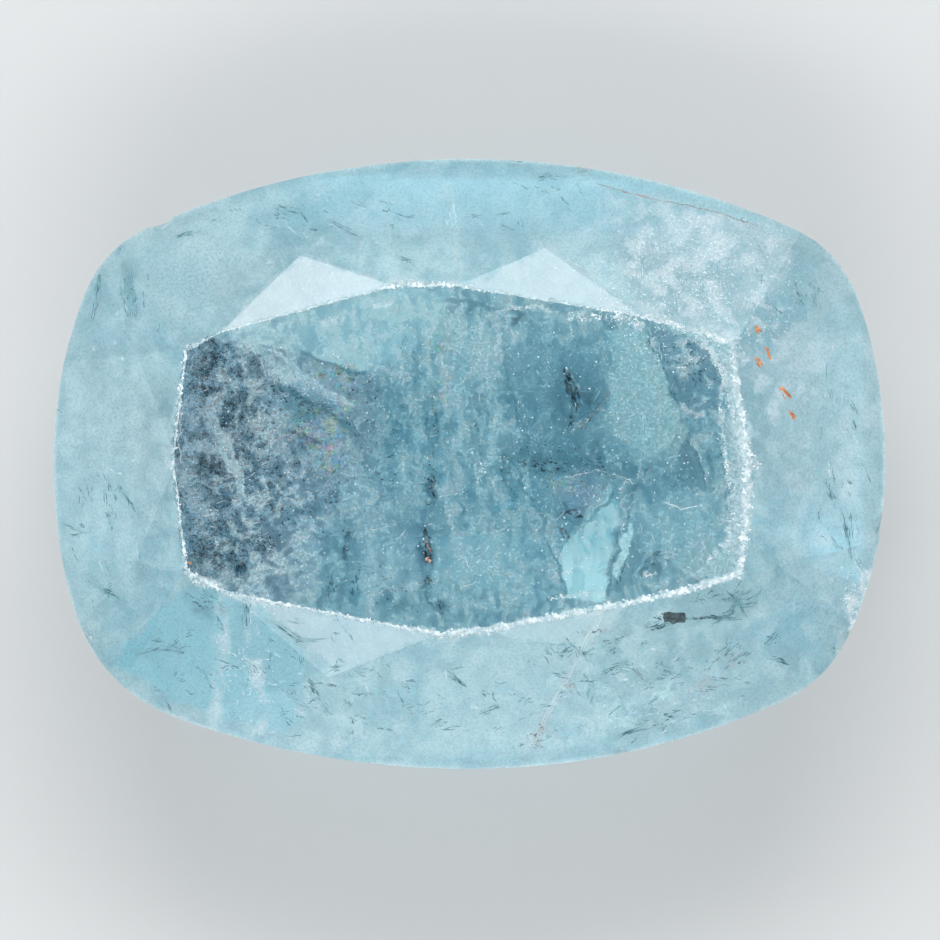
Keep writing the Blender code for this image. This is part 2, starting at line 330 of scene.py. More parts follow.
TEAL_SHARDS = (
    ((346, 548), (20, 4), 90, 14, (5, 13)), ((330, 586), (14, 5), 90, 12, (4, 10)),
    ((354, 584), (14, 5), 90, 12, (4, 10)), ((660, 556), (20, 9), -10, 16, (5, 12)),
    ((505, 470), (24, 6), 78, 18, (4, 10)), ((440, 606), (12, 6), 70, 10, (4, 9)),
    ((404, 345), (10, 5), 80, 8, (4, 9)), ((432, 425), (34, 6), 88, 18, (5, 12)),
    ((300, 402), (26, 7), 28, 26, (4, 12)), ((283, 509), (10, 6), 30, 8, (3, 8)),
    ((252, 500), (12, 6), 80, 8, (3, 8)), ((590, 462), (18, 8), 30, 14, (3, 8)),
    ((650, 350), (14, 4), 65, 8, (4, 9)), ((668, 392), (12, 6), 70, 9, (4, 9)),
    ((690, 372), (18, 10), 30, 14, (4, 9)), ((618, 575), (16, 5), -60, 10, (5, 11)),
    ((250, 420), (30, 30), 30, 40, (3, 8)), ((230, 500), (34, 60), 30, 60, (3, 8)),
    ((330, 450), (40, 30), 30, 34, (3, 8)), ((590, 418), (16, 3), -55, 8, (5, 10)),
    ((478, 430), (12, 30), 80, 14, (4, 10)), ((640, 380), (40, 40), 60, 16, (3, 7)),
)
# Patches of dark fibres on the crown: middle, half length and half width, direction, and how many
CROWN_SHARDS = (
    ((620, 640), (40, 14), -20, 16), ((725, 652), (22, 8), -40, 16), ((700, 600), (30, 14), -15, 16),
    ((735, 600), (22, 12), -45, 18), ((600, 672), (26, 8), -15, 12), ((660, 722), (30, 12), -15, 14),
    ((207, 602), (22, 12), 35, 22), ((165, 642), (20, 10), 10, 8), ((131, 290), (26, 5), 85, 18),
    ((560, 655), (18, 8), -50, 8), ((772, 640), (18, 6), -30, 10), ((95, 585), (16, 8), 40, 6),
    ((314, 688), (12, 2), 65, 6), ((806, 292), (30, 12), 70, 12), ((545, 735), (18, 8), -35, 10),
)
WHITE_HAIRS = (
    ((269, 444), (290, 434), (302, 432)), ((260, 480), (277, 485), (290, 475), (289, 460)),
    ((277, 487), (290, 489), (305, 487)), ((350, 510), (370, 503), (387, 491)),
    ((305, 515), (318, 517), (332, 516)), ((267, 545), (280, 542), (292, 542)),
    ((272, 574), (282, 572), (289, 560)), ((350, 437), (370, 437)), ((360, 424), (372, 425), (382, 424)),
    ((230, 425), (240, 423), (252, 424)), ((375, 595), (385, 589), (397, 585), (437, 581)),
    ((202, 482), (218, 481), (232, 476)), ((272, 382), (295, 387), (315, 402), (337, 419)),
    ((295, 375), (320, 392), (350, 405)), ((270, 374), (300, 380), (330, 398), (362, 408)),
    ((430, 500), (450, 492), (470, 491)), ((500, 312), (520, 310), (537, 306)),
    ((562, 478), (600, 470), (636, 485)), ((636, 485), (615, 550), (604, 592)),
    ((636, 485), (645, 440), (640, 405)), ((636, 485), (652, 466)), ((570, 432), (582, 420), (597, 408)),
    ((565, 553), (580, 560), (594, 567)), ((550, 578), (575, 568), (600, 562)),
    ((185, 400), (180, 440), (184, 470)), ((175, 485), (180, 520), (189, 558)),
    ((480, 570), (500, 575), (520, 570)), ((455, 590), (480, 580)), ((330, 350), (350, 366), (372, 380)),
    ((420, 330), (424, 352)), ((520, 400), (530, 440), (534, 470)), ((687, 435), (700, 460), (707, 487)),
    ((695, 360), (680, 395)), ((660, 500), (680, 510), (700, 505)),
)
DARK_HAIRS = (
    ((595, 183), (628, 193), (656, 200), (696, 207), (721, 214), (757, 226)),
    ((570, 375), (577, 384), (582, 392)), ((590, 402), (596, 395), (602, 387)),
    ((683, 619), (712, 617), (742, 616)), ((647, 628), (658, 625), (670, 622)),
    ((308, 678), (314, 690), (320, 698)), ((138, 655), (160, 648), (184, 650)),
    ((247, 600), (248, 612), (248, 626)), ((330, 222), (345, 229), (360, 237)),
    ((175, 238), (188, 233), (202, 231)), ((400, 258), (412, 263)), ((276, 205), (290, 211), (302, 211)),
    ((849, 402), (853, 408), (857, 415)), ((853, 420), (856, 430)),
    ((603, 673), (617, 666), (632, 668), (645, 682)), ((610, 740), (632, 731), (655, 726)),
    ((770, 657), (782, 661), (793, 665)), ((730, 662), (742, 655), (748, 650)), ((557, 697), (565, 690)),
    ((95, 575), (104, 590), (114, 594), (122, 600)), ((120, 482), (130, 500), (136, 512)),
    ((100, 270), (96, 300), (92, 320)), ((444, 665), (455, 677), (466, 688)), ((480, 690), (488, 696)),
    ((560, 178), (548, 176), (535, 180)), ((505, 158), (516, 160), (532, 159)),
    ((270, 620), (300, 640), (330, 638)), ((722, 586), (735, 600), (748, 618)),
    ((742, 588), (731, 612), (712, 626)), ((716, 596), (738, 604), (756, 602)),
    ((480, 715), (490, 709), (500, 706)), ((838, 500), (846, 530), (851, 560)), ((826, 480), (832, 500)),
)
TL_STAR = ((218, 333), (302, 257), (398, 288))
TR_STAR = ((458, 291), (552, 246), (637, 316))
BL_STAR = ((262, 601), (338, 672), (442, 632))
BR_STAR = ((466, 630), (584, 645), (652, 588))
TOP_BAND = ((205, 335), (400, 287), (455, 290), (440, 330), (405, 352), (365, 376), (305, 357), (252, 346))
PALE_SMEAR = (
    (398, 300), (470, 296), (500, 345), (512, 405), (530, 480), (470, 470), (430, 400), (405, 350),
)
DUSKY_FIELD = (
    (503, 345), (530, 342), (560, 346), (600, 370), (606, 392), (602, 470), (566, 540), (530, 485),
    (514, 418),
)
CYAN_WEDGE = (
    (612, 488), (600, 505), (575, 530), (559, 552), (562, 575), (568, 598), (603, 598), (609, 560),
    (615, 530), (619, 503),
)
CYAN_STRIP = ((630, 522), (633, 530), (624, 560), (614, 580), (611, 576), (620, 546))
WEDGE_SHADE = ((638, 500), (630, 530), (618, 556), (606, 594), (624, 588), (644, 562), (648, 528))
DARK_TRIANGLE = ((688, 434), (674, 454), (676, 484), (700, 492), (708, 491), (699, 462))
BRIGHT_FIELD = (
    (602, 330), (646, 328), (664, 369), (677, 408), (672, 440), (648, 458), (618, 440), (606, 400),
    (614, 362),
)
RIGHT_CELLS = ((646, 328), (664, 369), (677, 408), (700, 420), (728, 400), (724, 366), (700, 342))
RIGHT_STRIP = (
    (640, 314), (700, 326), (760, 330), (760, 590), (690, 574), (706, 562), (722, 552), (732, 521),
    (737, 473), (732, 418), (724, 366), (704, 344), (662, 327),
)
BLADES = (
    ((202, 405), (213, 412), (224, 428), (234, 450), (242, 472),
     (247, 502), (242, 494), (233, 474), (221, 452), (208, 428)),
    ((186, 436), (198, 439), (214, 445), (229, 456), (233, 467), (221, 460), (205, 452), (190, 446)),
    ((251, 347), (272, 352), (297, 367), (321, 385),
     (353, 403), (357, 410), (330, 402), (305, 393), (282, 381), (262, 364)),
)
FROST = (
    (600, 178), (640, 194), (700, 206), (757, 226), (800, 250), (812, 330), (820, 400), (770, 425),
    (742, 395), (726, 340), (690, 328), (640, 312), (614, 246),
)
TOP_STRIP = ((586, 166), (640, 176), (700, 190), (770, 222), (745, 222), (700, 209), (640, 195), (596, 182))
CORNER_FACET = ((790, 240), (830, 262), (838, 330), (800, 350), (778, 300))
LOWER_LEFT = ((190, 583), (262, 603), (310, 660), (290, 735), (180, 705), (115, 664), (150, 620))
SHADED_CORNER = ((672, 596), (700, 580), (752, 574), (764, 596), (740, 622), (700, 626), (676, 618))
HEALED_CRACK = ((604, 598), (596, 620), (584, 643), (572, 670), (557, 697), (542, 724), (524, 756))


class Finish:
    """The finish at every point of the stone: tint, cloudiness and roughness."""

    def __init__(self, mesh):
        count = len(mesh.vertices)
        places = np.empty(count * 3)
        mesh.vertices.foreach_get("co", places)
        self.places = places.reshape(count, 3)
        self.px = MIDDLE[0] + self.places[:, 0] / PIXEL
        self.py = MIDDLE[1] - self.places[:, 1] / PIXEL
        height = self.places[:, 2]
        self.on_table = (height > TOP - TABLE_DROP * 1.5).astype(float)
        self.on_crown = (height > GIRDLE - 0.01 * MM) * (1.0 - self.on_table)
        self.on_girdle = (height <= GIRDLE - 0.01 * MM) * (height > GIRDLE - 0.6 * MM)
        self.tint = np.tile(PAVILION_FINISH[0], (count, 1))
        self.milk = np.full(count, PAVILION_FINISH[1])
        self.rough = np.full(count, PAVILION_FINISH[2])
        self.specks = 0.36 * self.on_crown + 0.42 * self.on_table
        # Noise is worked out at these points only
        self.wanted = np.full(count, True)
        for zone, finish in (
            (self.on_table, TABLE_FINISH), (self.on_crown, CROWN_FINISH), (self.on_girdle, GIRDLE_FINISH),
            (height < 0.02 * MM, CULET_FINISH),
        ):
            self.lay(zone.astype(float), *finish)

    def lay(self, share, tint, milk=None, rough=None):
        """Lays a finish over the one that is there, by a share at each point."""
        self.tint += share[:, None] * (np.array(tint) - self.tint)
        if milk is not None:
            self.milk += share * (milk - self.milk)
        if rough is not None:
            self.rough += share * (rough - self.rough)

    def field(self, size, seed, octaves=4, stretch=(1.0, 1.0)):
        """Cloudy noise from about -1 to 1, its features of a size in the photograph's pixels."""
        across = self.px[self.wanted] / (size * stretch[0])
        down = self.py[self.wanted] / (size * stretch[1])
        found = np.zeros(len(self.px))
        found[self.wanted] = [noise.fractal((x, y, seed), 0.8, 2.0, octaves) for x, y in zip(across, down)]
        return found

    def bend(self, amount, size, seed):
        """Lets the edges of what is laid next wander by some pixels."""
        self.px = self.px + amount * self.field(size, seed)
        self.py = self.py + amount * self.field(size, seed + 3.3)

    def oval(self, middle, radii, turn=0.0, soft=0.5):
        """1 inside an oval, fading to 0 over its outer part. It is turned clockwise by degrees."""
        angle = math.radians(turn)
        across, down = self.px - middle[0], self.py - middle[1]
        along = (across * math.cos(angle) + down * math.sin(angle)) / radii[0]
        aside = (down * math.cos(angle) - across * math.sin(angle)) / radii[1]
        return 1.0 - smooth_step(np.hypot(along, aside), 1.0 - soft, 1.0 + soft * 0.4)

    def distance_to(self, points, closed=False):
        """How many pixels away a line through some points is."""
        nearest = np.full(len(self.px), 1e9)
        ends = list(zip(points, points[1:])) + ([(points[-1], points[0])] if closed else [])
        for (x0, y0), (x1, y1) in ends:
            dx, dy = x1 - x0, y1 - y0
            share = ((self.px - x0) * dx + (self.py - y0) * dy) / (dx * dx + dy * dy)
            share = np.clip(share, 0.0, 1.0)
            nearest = np.minimum(nearest, np.hypot(self.px - x0 - share * dx, self.py - y0 - share * dy))
        return nearest

    def stroke(self, points, width, soft=0.5):
        """1 along a line of a width in pixels, fading to 0 at its sides."""
        distance = self.distance_to(points) / (width / 2)
        return 1.0 - smooth_step(distance, 1.0 - soft, 1.0 + soft)

    def area(self, points, soft=3.0):
        """1 inside a closed outline, fading to 0 over some pixels at its edge."""
        inside = np.full(len(self.px), False)
        for (x0, y0), (x1, y1) in zip(points, (*points[1:], points[0])):
            if y0 != y1:
                crossed = (y0 > self.py) != (y1 > self.py)
                inside ^= crossed & (self.px < (x1 - x0) * (self.py - y0) / (y1 - y0) + x0)
        signed = self.distance_to(points, closed=True) * np.where(inside, 1.0, -1.0)
        return smooth_step(signed, -soft, soft)

    def store(self, mesh):
        """Keeps the finish on the mesh, where the material reads it."""
        colours = np.ones((len(self.milk), 4))
        colours[:, :3] = np.clip(self.tint, 0.0, 1.0)
        mesh.attributes.new("tint", "FLOAT_COLOR", "POINT").data.foreach_set("color", colours.ravel())
        milk, rough = np.clip(self.milk, 0.0, 1.0), np.clip(self.rough, 0.0, 1.0)
        mesh.attributes.new("milk", "FLOAT", "POINT").data.foreach_set("value", milk)
        mesh.attributes.new("rough", "FLOAT", "POINT").data.foreach_set("value", rough)
        specks = np.clip(self.specks, 0.0, 1.0)
        mesh.attributes.new("specks", "FLOAT", "POINT").data.foreach_set("value", specks)


def paint_crown(f):
    """Clouds, streaks and smudges on the crown."""
    crown = f.on_crown
    broad, mottle, small = f.field(110, 1.5), f.field(34, 8.5, 5), f.field(12, 4.5, 4)
    f.bend(5.0, 22, 6.1)
    f.wanted = crown > 0
    f.lay(crown * smooth_step(broad, -0.5, 0.5) * 0.6, (0.58, 0.91, 0.98))
    for cloud, low, high, share, tint, milk in (
        (mottle, 0.0, 0.5, 0.55, (0.42, 0.8, 0.91), 0.26),
        (-mottle, 0.0, 0.5, 0.45, (0.66, 0.95, 1.0), 0.44),
        (small, 0.05, 0.4, 0.45, (0.74, 0.96, 1.0), 0.5), (-small, 0.1, 0.5, 0.4, (0.34, 0.66, 0.76), 0.26),
    ):
        f.lay(crown * smooth_step(cloud, low, high) * share, tint, milk)
    # The greyer left end, with upright bands
    bands = f.field(16, 2.2, 3, (1.0, 9.0))
    left_end = crown * f.oval((95, 460), (75, 240), 0, 0.5)
    f.lay(left_end * 0.5, (0.6, 0.86, 0.91))
    f.lay(left_end * smooth_step(bands, 0.0, 0.6) * 0.5, (0.5, 0.77, 0.83), 0.28)
    f.lay(left_end * smooth_step(-bands, 0.1, 0.6) * 0.35, (0.7, 0.93, 0.97), 0.42)
    # The frosted patch at the upper right, with clear holes in it, and the clear strip above it
    frost = crown * f.area(FROST, 8)
    holes = smooth_step(f.field(46, 12.5, 6), 0.04, 0.22)
    f.lay(frost * 0.65, (0.62, 0.8, 0.86), 0.38, 0.36)
    f.lay(frost * holes * 0.75, (0.44, 0.76, 0.84), 0.28, 0.3)
    flecked = smooth_step(f.field(14, 17.5, 6), 0.04, 0.2)
    f.lay(frost * flecked * 0.65, (0.84, 0.95, 1.0), 0.56)
    f.lay(crown * f.area(TOP_STRIP, 3) * 0.8, (0.5, 0.88, 0.97), 0.36)
    f.lay(crown * f.area(CORNER_FACET, 6) * 0.6, (0.44, 0.74, 0.81), 0.28)
    # Whitish mottling of the right end
    right_end = crown * f.oval((835, 430), (62, 250), 0, 0.5)
    f.lay(right_end * 0.4, (0.62, 0.85, 0.89))
    f.lay(right_end * smooth_step(mottle, 0.0, 0.4) * 0.5, (0.82, 0.95, 0.99), 0.5)
    f.lay(right_end * smooth_step(-mottle, 0.1, 0.5) * 0.4, (0.54, 0.78, 0.82), 0.28)
    frosted_end = crown * f.oval((857, 602), (16, 50), 18, 0.6)
    f.lay(frosted_end * smooth_step(small, -0.3, 0.3), (0.9, 0.96, 0.99), 0.66, 0.5)
    # Clearer, bluer glass at the lower left, with two pale upright streaks and a dark smudge
    f.lay(crown * f.area(LOWER_LEFT, 3) * 0.75, (0.4, 0.88, 1.0), 0.32)
    broken = smooth_step(f.field(15, 3.9, 4, (0.7, 2.0)), -0.25, 0.35)
    for streak in ((226, 596), (222, 650), (214, 724)), ((252, 598), (258, 660), (262, 728)):
        f.lay(crown * f.stroke(streak, 13) * broken * 0.7, (0.8, 0.93, 1.0), 0.55)
    smudge = crown * f.oval((207, 602), (26, 16), 35, 0.6) * smooth_step(small, -0.5, 0.3)
    f.lay(smudge * 0.8, (0.16, 0.42, 0.55), 0.25)
    dark_left = crown * f.stroke(((128, 262), (131, 290), (134, 322)), 12, 0.7)
    f.lay(dark_left * smooth_step(bands, -0.7, 0.2) * 0.75, (0.22, 0.42, 0.48), 0.3)
    # Pale streaks and patches of the upper side
    f.lay(crown * f.stroke(((447, 184), (453, 225), (461, 268)), 9) * 0.45, (0.8, 0.97, 0.98), 0.5)
    patchy = smooth_step(small, -0.3, 0.4)
    f.lay(crown * f.oval((385, 200), (42, 14), 12, 0.6) * patchy * 0.6, (0.8, 0.97, 1), 0.52)
    f.lay(crown * f.oval((480, 205), (220, 55), 0, 0.6) * 0.45, (0.42, 0.76, 0.86), 0.27)
    f.lay(crown * f.oval((190, 270), (95, 75), -35, 0.6) * 0.5, (0.72, 0.93, 0.97), 0.42)
    for line in DARK_HAIRS[1:]:
        f.lay(crown * f.stroke(line, 9, 0.8) * 0.3, (0.34, 0.62, 0.68), 0.27)
    for middle, radii, turn, _count in CROWN_SHARDS:
        torn = smooth_step(f.field(10, 90.5, 4), -0.3, 0.4)
        f.lay(crown * f.oval(middle, radii, turn, 0.7) * torn * 0.45, (0.3, 0.56, 0.62), 0.27)
    # The healed crack at the lower right: the stone is paler on its left
    paler = crown * f.area(((470, 640), (604, 598), (557, 697), (524, 756), (430, 760)), 2.0)
    f.lay(paler * 0.35, (0.68, 0.94, 0.99), 0.42)
    f.lay(crown * f.stroke(HEALED_CRACK, 7, 0.5) * 0.4, (0.78, 0.94, 1.0), 0.46)
    dusty = smooth_step(f.field(9, 97.5, 4), -0.1, 0.25)
    f.lay(crown * f.stroke(HEALED_CRACK, 13, 0.6) * dusty * 0.6, (0.48, 0.58, 0.64), 0.44)
    for middle, radii, turn in (
        ((632, 712), (34, 17), -15), ((668, 690), (24, 12), 0), ((640, 668), (20, 10), -20),
    ):
        glint = crown * f.oval(middle, radii, turn, 0.6) * smooth_step(f.field(9, 5.5, 4), -0.1, 0.35)
        f.lay(glint * 0.75, (0.66, 1.0, 1.0), 0.58)
    for middle, radii, turn in (
        ((600, 632), (22, 12), -25), ((541, 733), (22, 14), -30), ((735, 655), (26, 11), -40),
        ((712, 682), (30, 12), -25), ((568, 690), (14, 9), -40),
    ):
        dusty = crown * f.oval(middle, radii, turn, 0.6) * smooth_step(f.field(8, 9.9, 4), -0.1, 0.3)
        f.lay(dusty * 0.6, (0.6, 0.66, 0.7), 0.42)
    shaded = crown * f.area(SHADED_CORNER, 6)
    f.lay(shaded * smooth_step(f.field(12, 93.5, 4), -0.5, 0.3) * 0.6, (0.34, 0.66, 0.74), 0.28)
    # Painted sheen on the stars: a paler tint and more milk stand in for their mirror of the softboxes;
    # they also get a little less roughness and fewer specks
    for star, tint, milk in (
        (TL_STAR, (0.76, 0.9, 0.97), 0.42), (TR_STAR, (0.68, 0.85, 0.92), 0.37),
        (BL_STAR, (0.62, 0.83, 0.92), 0.38), (BR_STAR, (0.74, 0.96, 1.0), 0.44),
    ):
        f.lay(crown * f.area(star, 2.0) * 0.75, tint, milk, 0.24)
        f.specks *= 1.0 - 0.65 * crown * f.area(star, 2.0)
    f.tint *= 1.0 - 0.08 * crown[:, None]
    f.milk += 0.03 * crown
    # Painted highlight along the girdle: a pale, milky band at the crown's lower edge stands in for a
    # rounded edge catching the light
    height = f.places[:, 2]
    f.lay(crown * (1.0 - smooth_step(height - GIRDLE, 0.0, 0.05 * MM)) * 0.6, (0.86, 0.98, 1.0), 0.62, 0.3)


def paint_table(f):
    """Shades inside the stone that show through the table."""
    table = f.on_table
    f.wanted = table > 0
    broad, mottle = f.field(70, 21.5, 4), f.field(20, 14.5, 5)
    upright, small = f.field(15, 31.5, 4, (1.0, 4.5)), f.field(8, 24.5, 4)
    narrow = f.field(6, 71.5, 3, (1.0, 4.0))
    for cloud, low, high, share, tint, milk in (
        (-broad, -0.3, 0.5, 0.45, (0.68, 0.95, 1.0), 0.14), (broad, 0.0, 0.6, 0.4, (0.32, 0.64, 0.8), None),
        (upright, -0.1, 0.6, 0.55, (0.2, 0.5, 0.64), 0.03),
        (-upright, -0.1, 0.6, 0.5, (0.66, 0.94, 1.0), 0.26),
        (narrow, 0.0, 0.6, 0.5, (0.2, 0.48, 0.6), 0.03), (-narrow, 0.0, 0.6, 0.5, (0.68, 0.95, 1.0), 0.3),
        (small, 0.0, 0.5, 0.4, (0.2, 0.48, 0.6), 0.03), (-small, 0.0, 0.5, 0.35, (0.68, 0.95, 1.0), 0.3),
        (mottle, 0.0, 0.6, 0.45, (0.24, 0.54, 0.68), None),
        (-mottle, 0.0, 0.6, 0.35, (0.66, 0.94, 1.0), 0.24),
    ):
        f.lay(table * smooth_step(cloud, low, high) * share, tint, milk)
    f.specks += 0.1 * table * f.oval((245, 470), (110, 170), 0, 0.5)
    # The dusky left end, mottled grey and violet
    left = table * f.oval((240, 465), (105, 170), -6, 0.45)
    f.lay(left * 0.6, (0.64, 0.76, 0.92), 0.2)
    for cloud, low, high, share, tint, milk in (
        (mottle, -0.05, 0.35, 0.75, (0.26, 0.36, 0.45), 0.04),
        (-mottle, 0.1, 0.4, 0.6, (0.78, 0.88, 0.96), 0.26),
        (small, 0.1, 0.4, 0.65, (0.2, 0.27, 0.35), 0.02),
        (-small, 0.15, 0.45, 0.45, (0.82, 0.9, 0.98), 0.3),
    ):
        f.lay(left * smooth_step(cloud, low, high) * share, tint, milk)
    for middle, radii, turn, share, tint in (
        ((330, 440), (60, 62), 20, 0.55, (0.46, 0.52, 0.58)),
        ((340, 378), (52, 26), 18, 0.55, (0.42, 0.52, 0.6)),
        ((388, 535), (50, 62), 0, 0.5, (0.6, 0.74, 0.82)),
    ):
        f.lay(table * f.oval(middle, radii, turn, 0.5) * share, tint)
    # Fields with one straight side
    f.lay(table * f.area(BRIGHT_FIELD, 2.0) * 0.55, (0.56, 0.94, 1.0), 0.34)
    f.lay(table * f.area(DUSKY_FIELD, 1.5) * 0.5, (0.34, 0.6, 0.72), 0.05)
    f.lay(table * f.area(WEDGE_SHADE, 1.5) * 0.55, (0.3, 0.5, 0.58), 0.03)
    f.lay(table * f.oval((580, 492), (24, 22), 0, 0.5) * 0.6, (0.56, 0.62, 0.84), 0.1)
    f.lay(table * f.area(DARK_TRIANGLE, 1.2) * 0.65, (0.26, 0.5, 0.6), 0.02)
    cells = table * f.area(RIGHT_CELLS, 1.5)
    f.lay(cells * smooth_step(f.field(11, 41.5, 3), -0.1, 0.15) * 0.75, (0.26, 0.48, 0.62), 0.03)
    f.lay(cells * smooth_step(-f.field(11, 41.5, 3), 0.05, 0.3) * 0.75, (0.84, 0.96, 1.0), 0.34)
    f.lay(table * f.area(RIGHT_STRIP, 2.0) * 0.8, (0.62, 0.92, 0.98), 0.34, 0.2)
    # Pale bands, wedges and streaks
    cloudy = 0.35 + 0.25 * smooth_step(-mottle, -0.3, 0.4)
    f.lay(table * f.area(TOP_BAND, 7) * cloudy, (0.6, 0.92, 1.0), 0.42)
    f.specks *= 1.0 - 0.5 * f.area(TOP_BAND, 4)
    smear = smooth_step(f.field(9, 51.5, 4, (1.0, 6.0)), -0.35, 0.4)
    f.lay(table * f.area(PALE_SMEAR, 4) * smear * 0.65, (0.66, 0.94, 1.0), 0.32)
    for middle, radii, turn, soft, share, milk in (
        ((635, 400), (36, 76), 20, 0.5, 0.5, 0.24), ((485, 560), (60, 40), 0, 0.6, 0.4, 0.24),
        ((680, 530), (45, 45), 0, 0.6, 0.4, 0.26),
    ):
        f.lay(table * f.oval(middle, radii, turn, soft) * share, (0.6, 0.94, 1.0), milk)
    wedge = table * f.area(CYAN_WEDGE, 1.2) * (0.7 + 0.3 * smooth_step(-narrow, -0.2, 0.3))
    f.specks *= 1.0 - 0.9 * f.area(CYAN_WEDGE, 1.5)
    f.lay(wedge * (0.4 + 0.45 * smooth_step(f.py, 500, 590)), (0.52, 0.92, 1.0), 0.5)
    f.lay(table * f.area(CYAN_STRIP, 1.0) * 0.8, (0.6, 0.94, 1.0), 0.48)
    for line, width, share in (
        (((600, 408), (570, 432)), 6, 0.45), (((272, 372), (320, 384), (352, 405)), 12, 0.35),
        (((285, 462), (291, 474), (280, 487)), 5, 0.3), (((272, 576), (284, 572)), 8, 0.55),
        (((725, 360), (732, 420), (738, 480), (734, 548)), 14, 0.45),
    ):
        streaky = 0.6 + 0.4 * smooth_step(small, -0.4, 0.4)
        f.lay(table * f.stroke(line, width, 0.6) * streaky * share, (0.82, 0.98, 1.0), 0.42)
    for blade in BLADES:
        inside = table * f.area(blade, 1.4) * smooth_step(narrow, -0.7, 0.3)
        f.lay(inside * 0.62, (0.66, 0.9, 1.0), 0.36)
        f.specks *= 1.0 - 0.5 * inside
        edge = table * f.stroke((*blade, blade[0]), 1.6, 0.6) * smooth_step(small, -0.3, 0.3)
        f.lay(edge * 0.6, (0.85, 0.97, 1.0), 0.55)
    for line in (((564, 371), (574, 378), (583, 390), (585, 400)), ((605, 390), (593, 412), (575, 436))):
        f.lay(table * f.stroke(line, 4, 0.5) * 0.75, (0.46, 0.52, 0.48), 0.22)
    # Dark spots and streaks, torn into upright shreds
    torn = smooth_step(f.field(6, 25.5, 5, (1.0, 1.8)), -0.35, 0.25)
    for middle, radii, turn, share in (
        ((305, 441), (14, 10), 20, 0.8), ((210, 357), (11, 22), 0, 0.65), ((207, 392), (9, 13), 0, 0.6),
        ((235, 420), (18, 12), 20, 0.55), ((208, 465), (22, 13), 20, 0.65), ((203, 545), (20, 14), 0, 0.6),
        ((242, 570), (6, 7), 0, 0.8), ((283, 509), (12, 8), 0, 0.5), ((262, 545), (16, 10), 20, 0.5),
        ((425, 552), (9, 26), 0, 0.85), ((431, 485), (7, 22), 0, 0.6), ((427, 590), (9, 18), 0, 0.55),
        ((347, 548), (8, 30), 0, 0.45), ((338, 590), (14, 14), 0, 0.4), ((440, 606), (12, 14), 0, 0.55),
        ((571, 391), (9, 21), -12, 0.9), ((572, 398), (22, 36), -12, 0.5), ((568, 512), (24, 9), 15, 0.65),
        ((545, 462), (40, 14), 12, 0.45), ((504, 474), (12, 22), -10, 0.4),
        ((653, 565), (22, 13), -10, 0.5), ((512, 320), (10, 8), 10, 0.7), ((462, 312), (22, 8), 4, 0.45),
        ((662, 350), (8, 20), -20, 0.55), ((475, 440), (10, 22), 0, 0.3), ((600, 452), (12, 22), 10, 0.35),
        ((398, 603), (18, 9), 10, 0.4), ((590, 400), (3.5, 12), 15, 0.5), ((638, 575), (9, 18), 25, 0.4),
        ((614, 360), (12, 20), 30, 0.2), ((480, 395), (9, 18), 0, 0.25),
    ):
        dark = table * f.oval(middle, radii, turn, 0.6) * torn
        f.lay(dark * min(share * 1.12, 1.0), (0.04, 0.12, 0.18), 0.0)
    for tint, seed, strength in (
        ((0.3, 0.62, 1.0), 1.5, 0.7), ((0.4, 0.95, 0.8), 2.7, 0.55), ((0.9, 0.95, 0.55), 3.9, 0.38),
        ((0.95, 0.66, 0.92), 5.1, 0.42),
    ):
        film = smooth_step(f.field(8, 80.5 + seed, 3), 0.12, 0.38) * strength
        for middle, radii, turn in (
            ((318, 428), (42, 30), 25), ((341, 373), (32, 15), 18), ((330, 466), (18, 12), 0),
            ((444, 385), (14, 20), 0), ((440, 345), (14, 14), 0), ((345, 406), (18, 8), 10),
            ((565, 486), (26, 12), 0),
        ):
            f.lay(table * film * f.oval(middle, radii, turn, 0.6), tint, 0.22)
    shreds = smooth_step(f.field(9, 96.5, 5, (1.3, 1.0)), -0.45, 0.25)
    dark_band = f.stroke(((505, 452), (545, 464), (600, 462), (642, 476)), 36, 0.8)
    f.lay(table * dark_band * shreds * 0.6, (0.14, 0.34, 0.42), 0.04)
    for middle, radii, turn, soft, share, tint, milk in (
        ((574, 402), (34, 46), -15, 0.7, 0.55, (0.1, 0.3, 0.42), 0.04),
        ((426, 545), (16, 60), 0, 0.8, 0.5, (0.1, 0.28, 0.38), 0.03),
        ((345, 565), (26, 50), 0, 0.8, 0.45, (0.12, 0.34, 0.44), 0.04),
        ((300, 402), (38, 22), 30, 0.7, 0.5, (0.12, 0.34, 0.44), 0.04),
        ((690, 368), (34, 42), -20, 0.7, 0.35, (0.14, 0.4, 0.54), 0.04),
    ):
        f.lay(table * f.oval(middle, radii, turn, soft) * shreds * share, tint, milk)
    # Fine dark lines
    for line, width in (
        (((503, 345), (508, 380), (514, 418)), 3),
        (((505, 452), (520, 478), (533, 500), (550, 548), (567, 592)), 4),
        (((646, 464), (633, 500), (615, 552), (605, 592)), 4), (((646, 330), (664, 369), (677, 408)), 3),
        (((688, 434), (699, 462), (708, 491)), 3), (((301, 353), (330, 364), (364, 376)), 6),
        (((273, 386), (300, 397), (330, 414), (352, 428)), 7), (((443, 302), (480, 304), (520, 316)), 6),
        (((614, 494), (590, 520), (558, 552)), 3),
    ):
        f.lay(table * f.stroke(line, width * 0.7, 0.6) * 0.6, (0.1, 0.28, 0.36), 0.04)
    # The far left is grey, and the whole table a little brighter
    f.lay(table * f.oval((194, 460), (24, 160), 0, 0.5) * 0.35, (0.3, 0.33, 0.36), 0.2)
    brighter = np.minimum(f.tint * (1.06, 1.13, 1.15), (1.0, 0.94, 1.0))
    f.tint += table[:, None] * (brighter - f.tint)


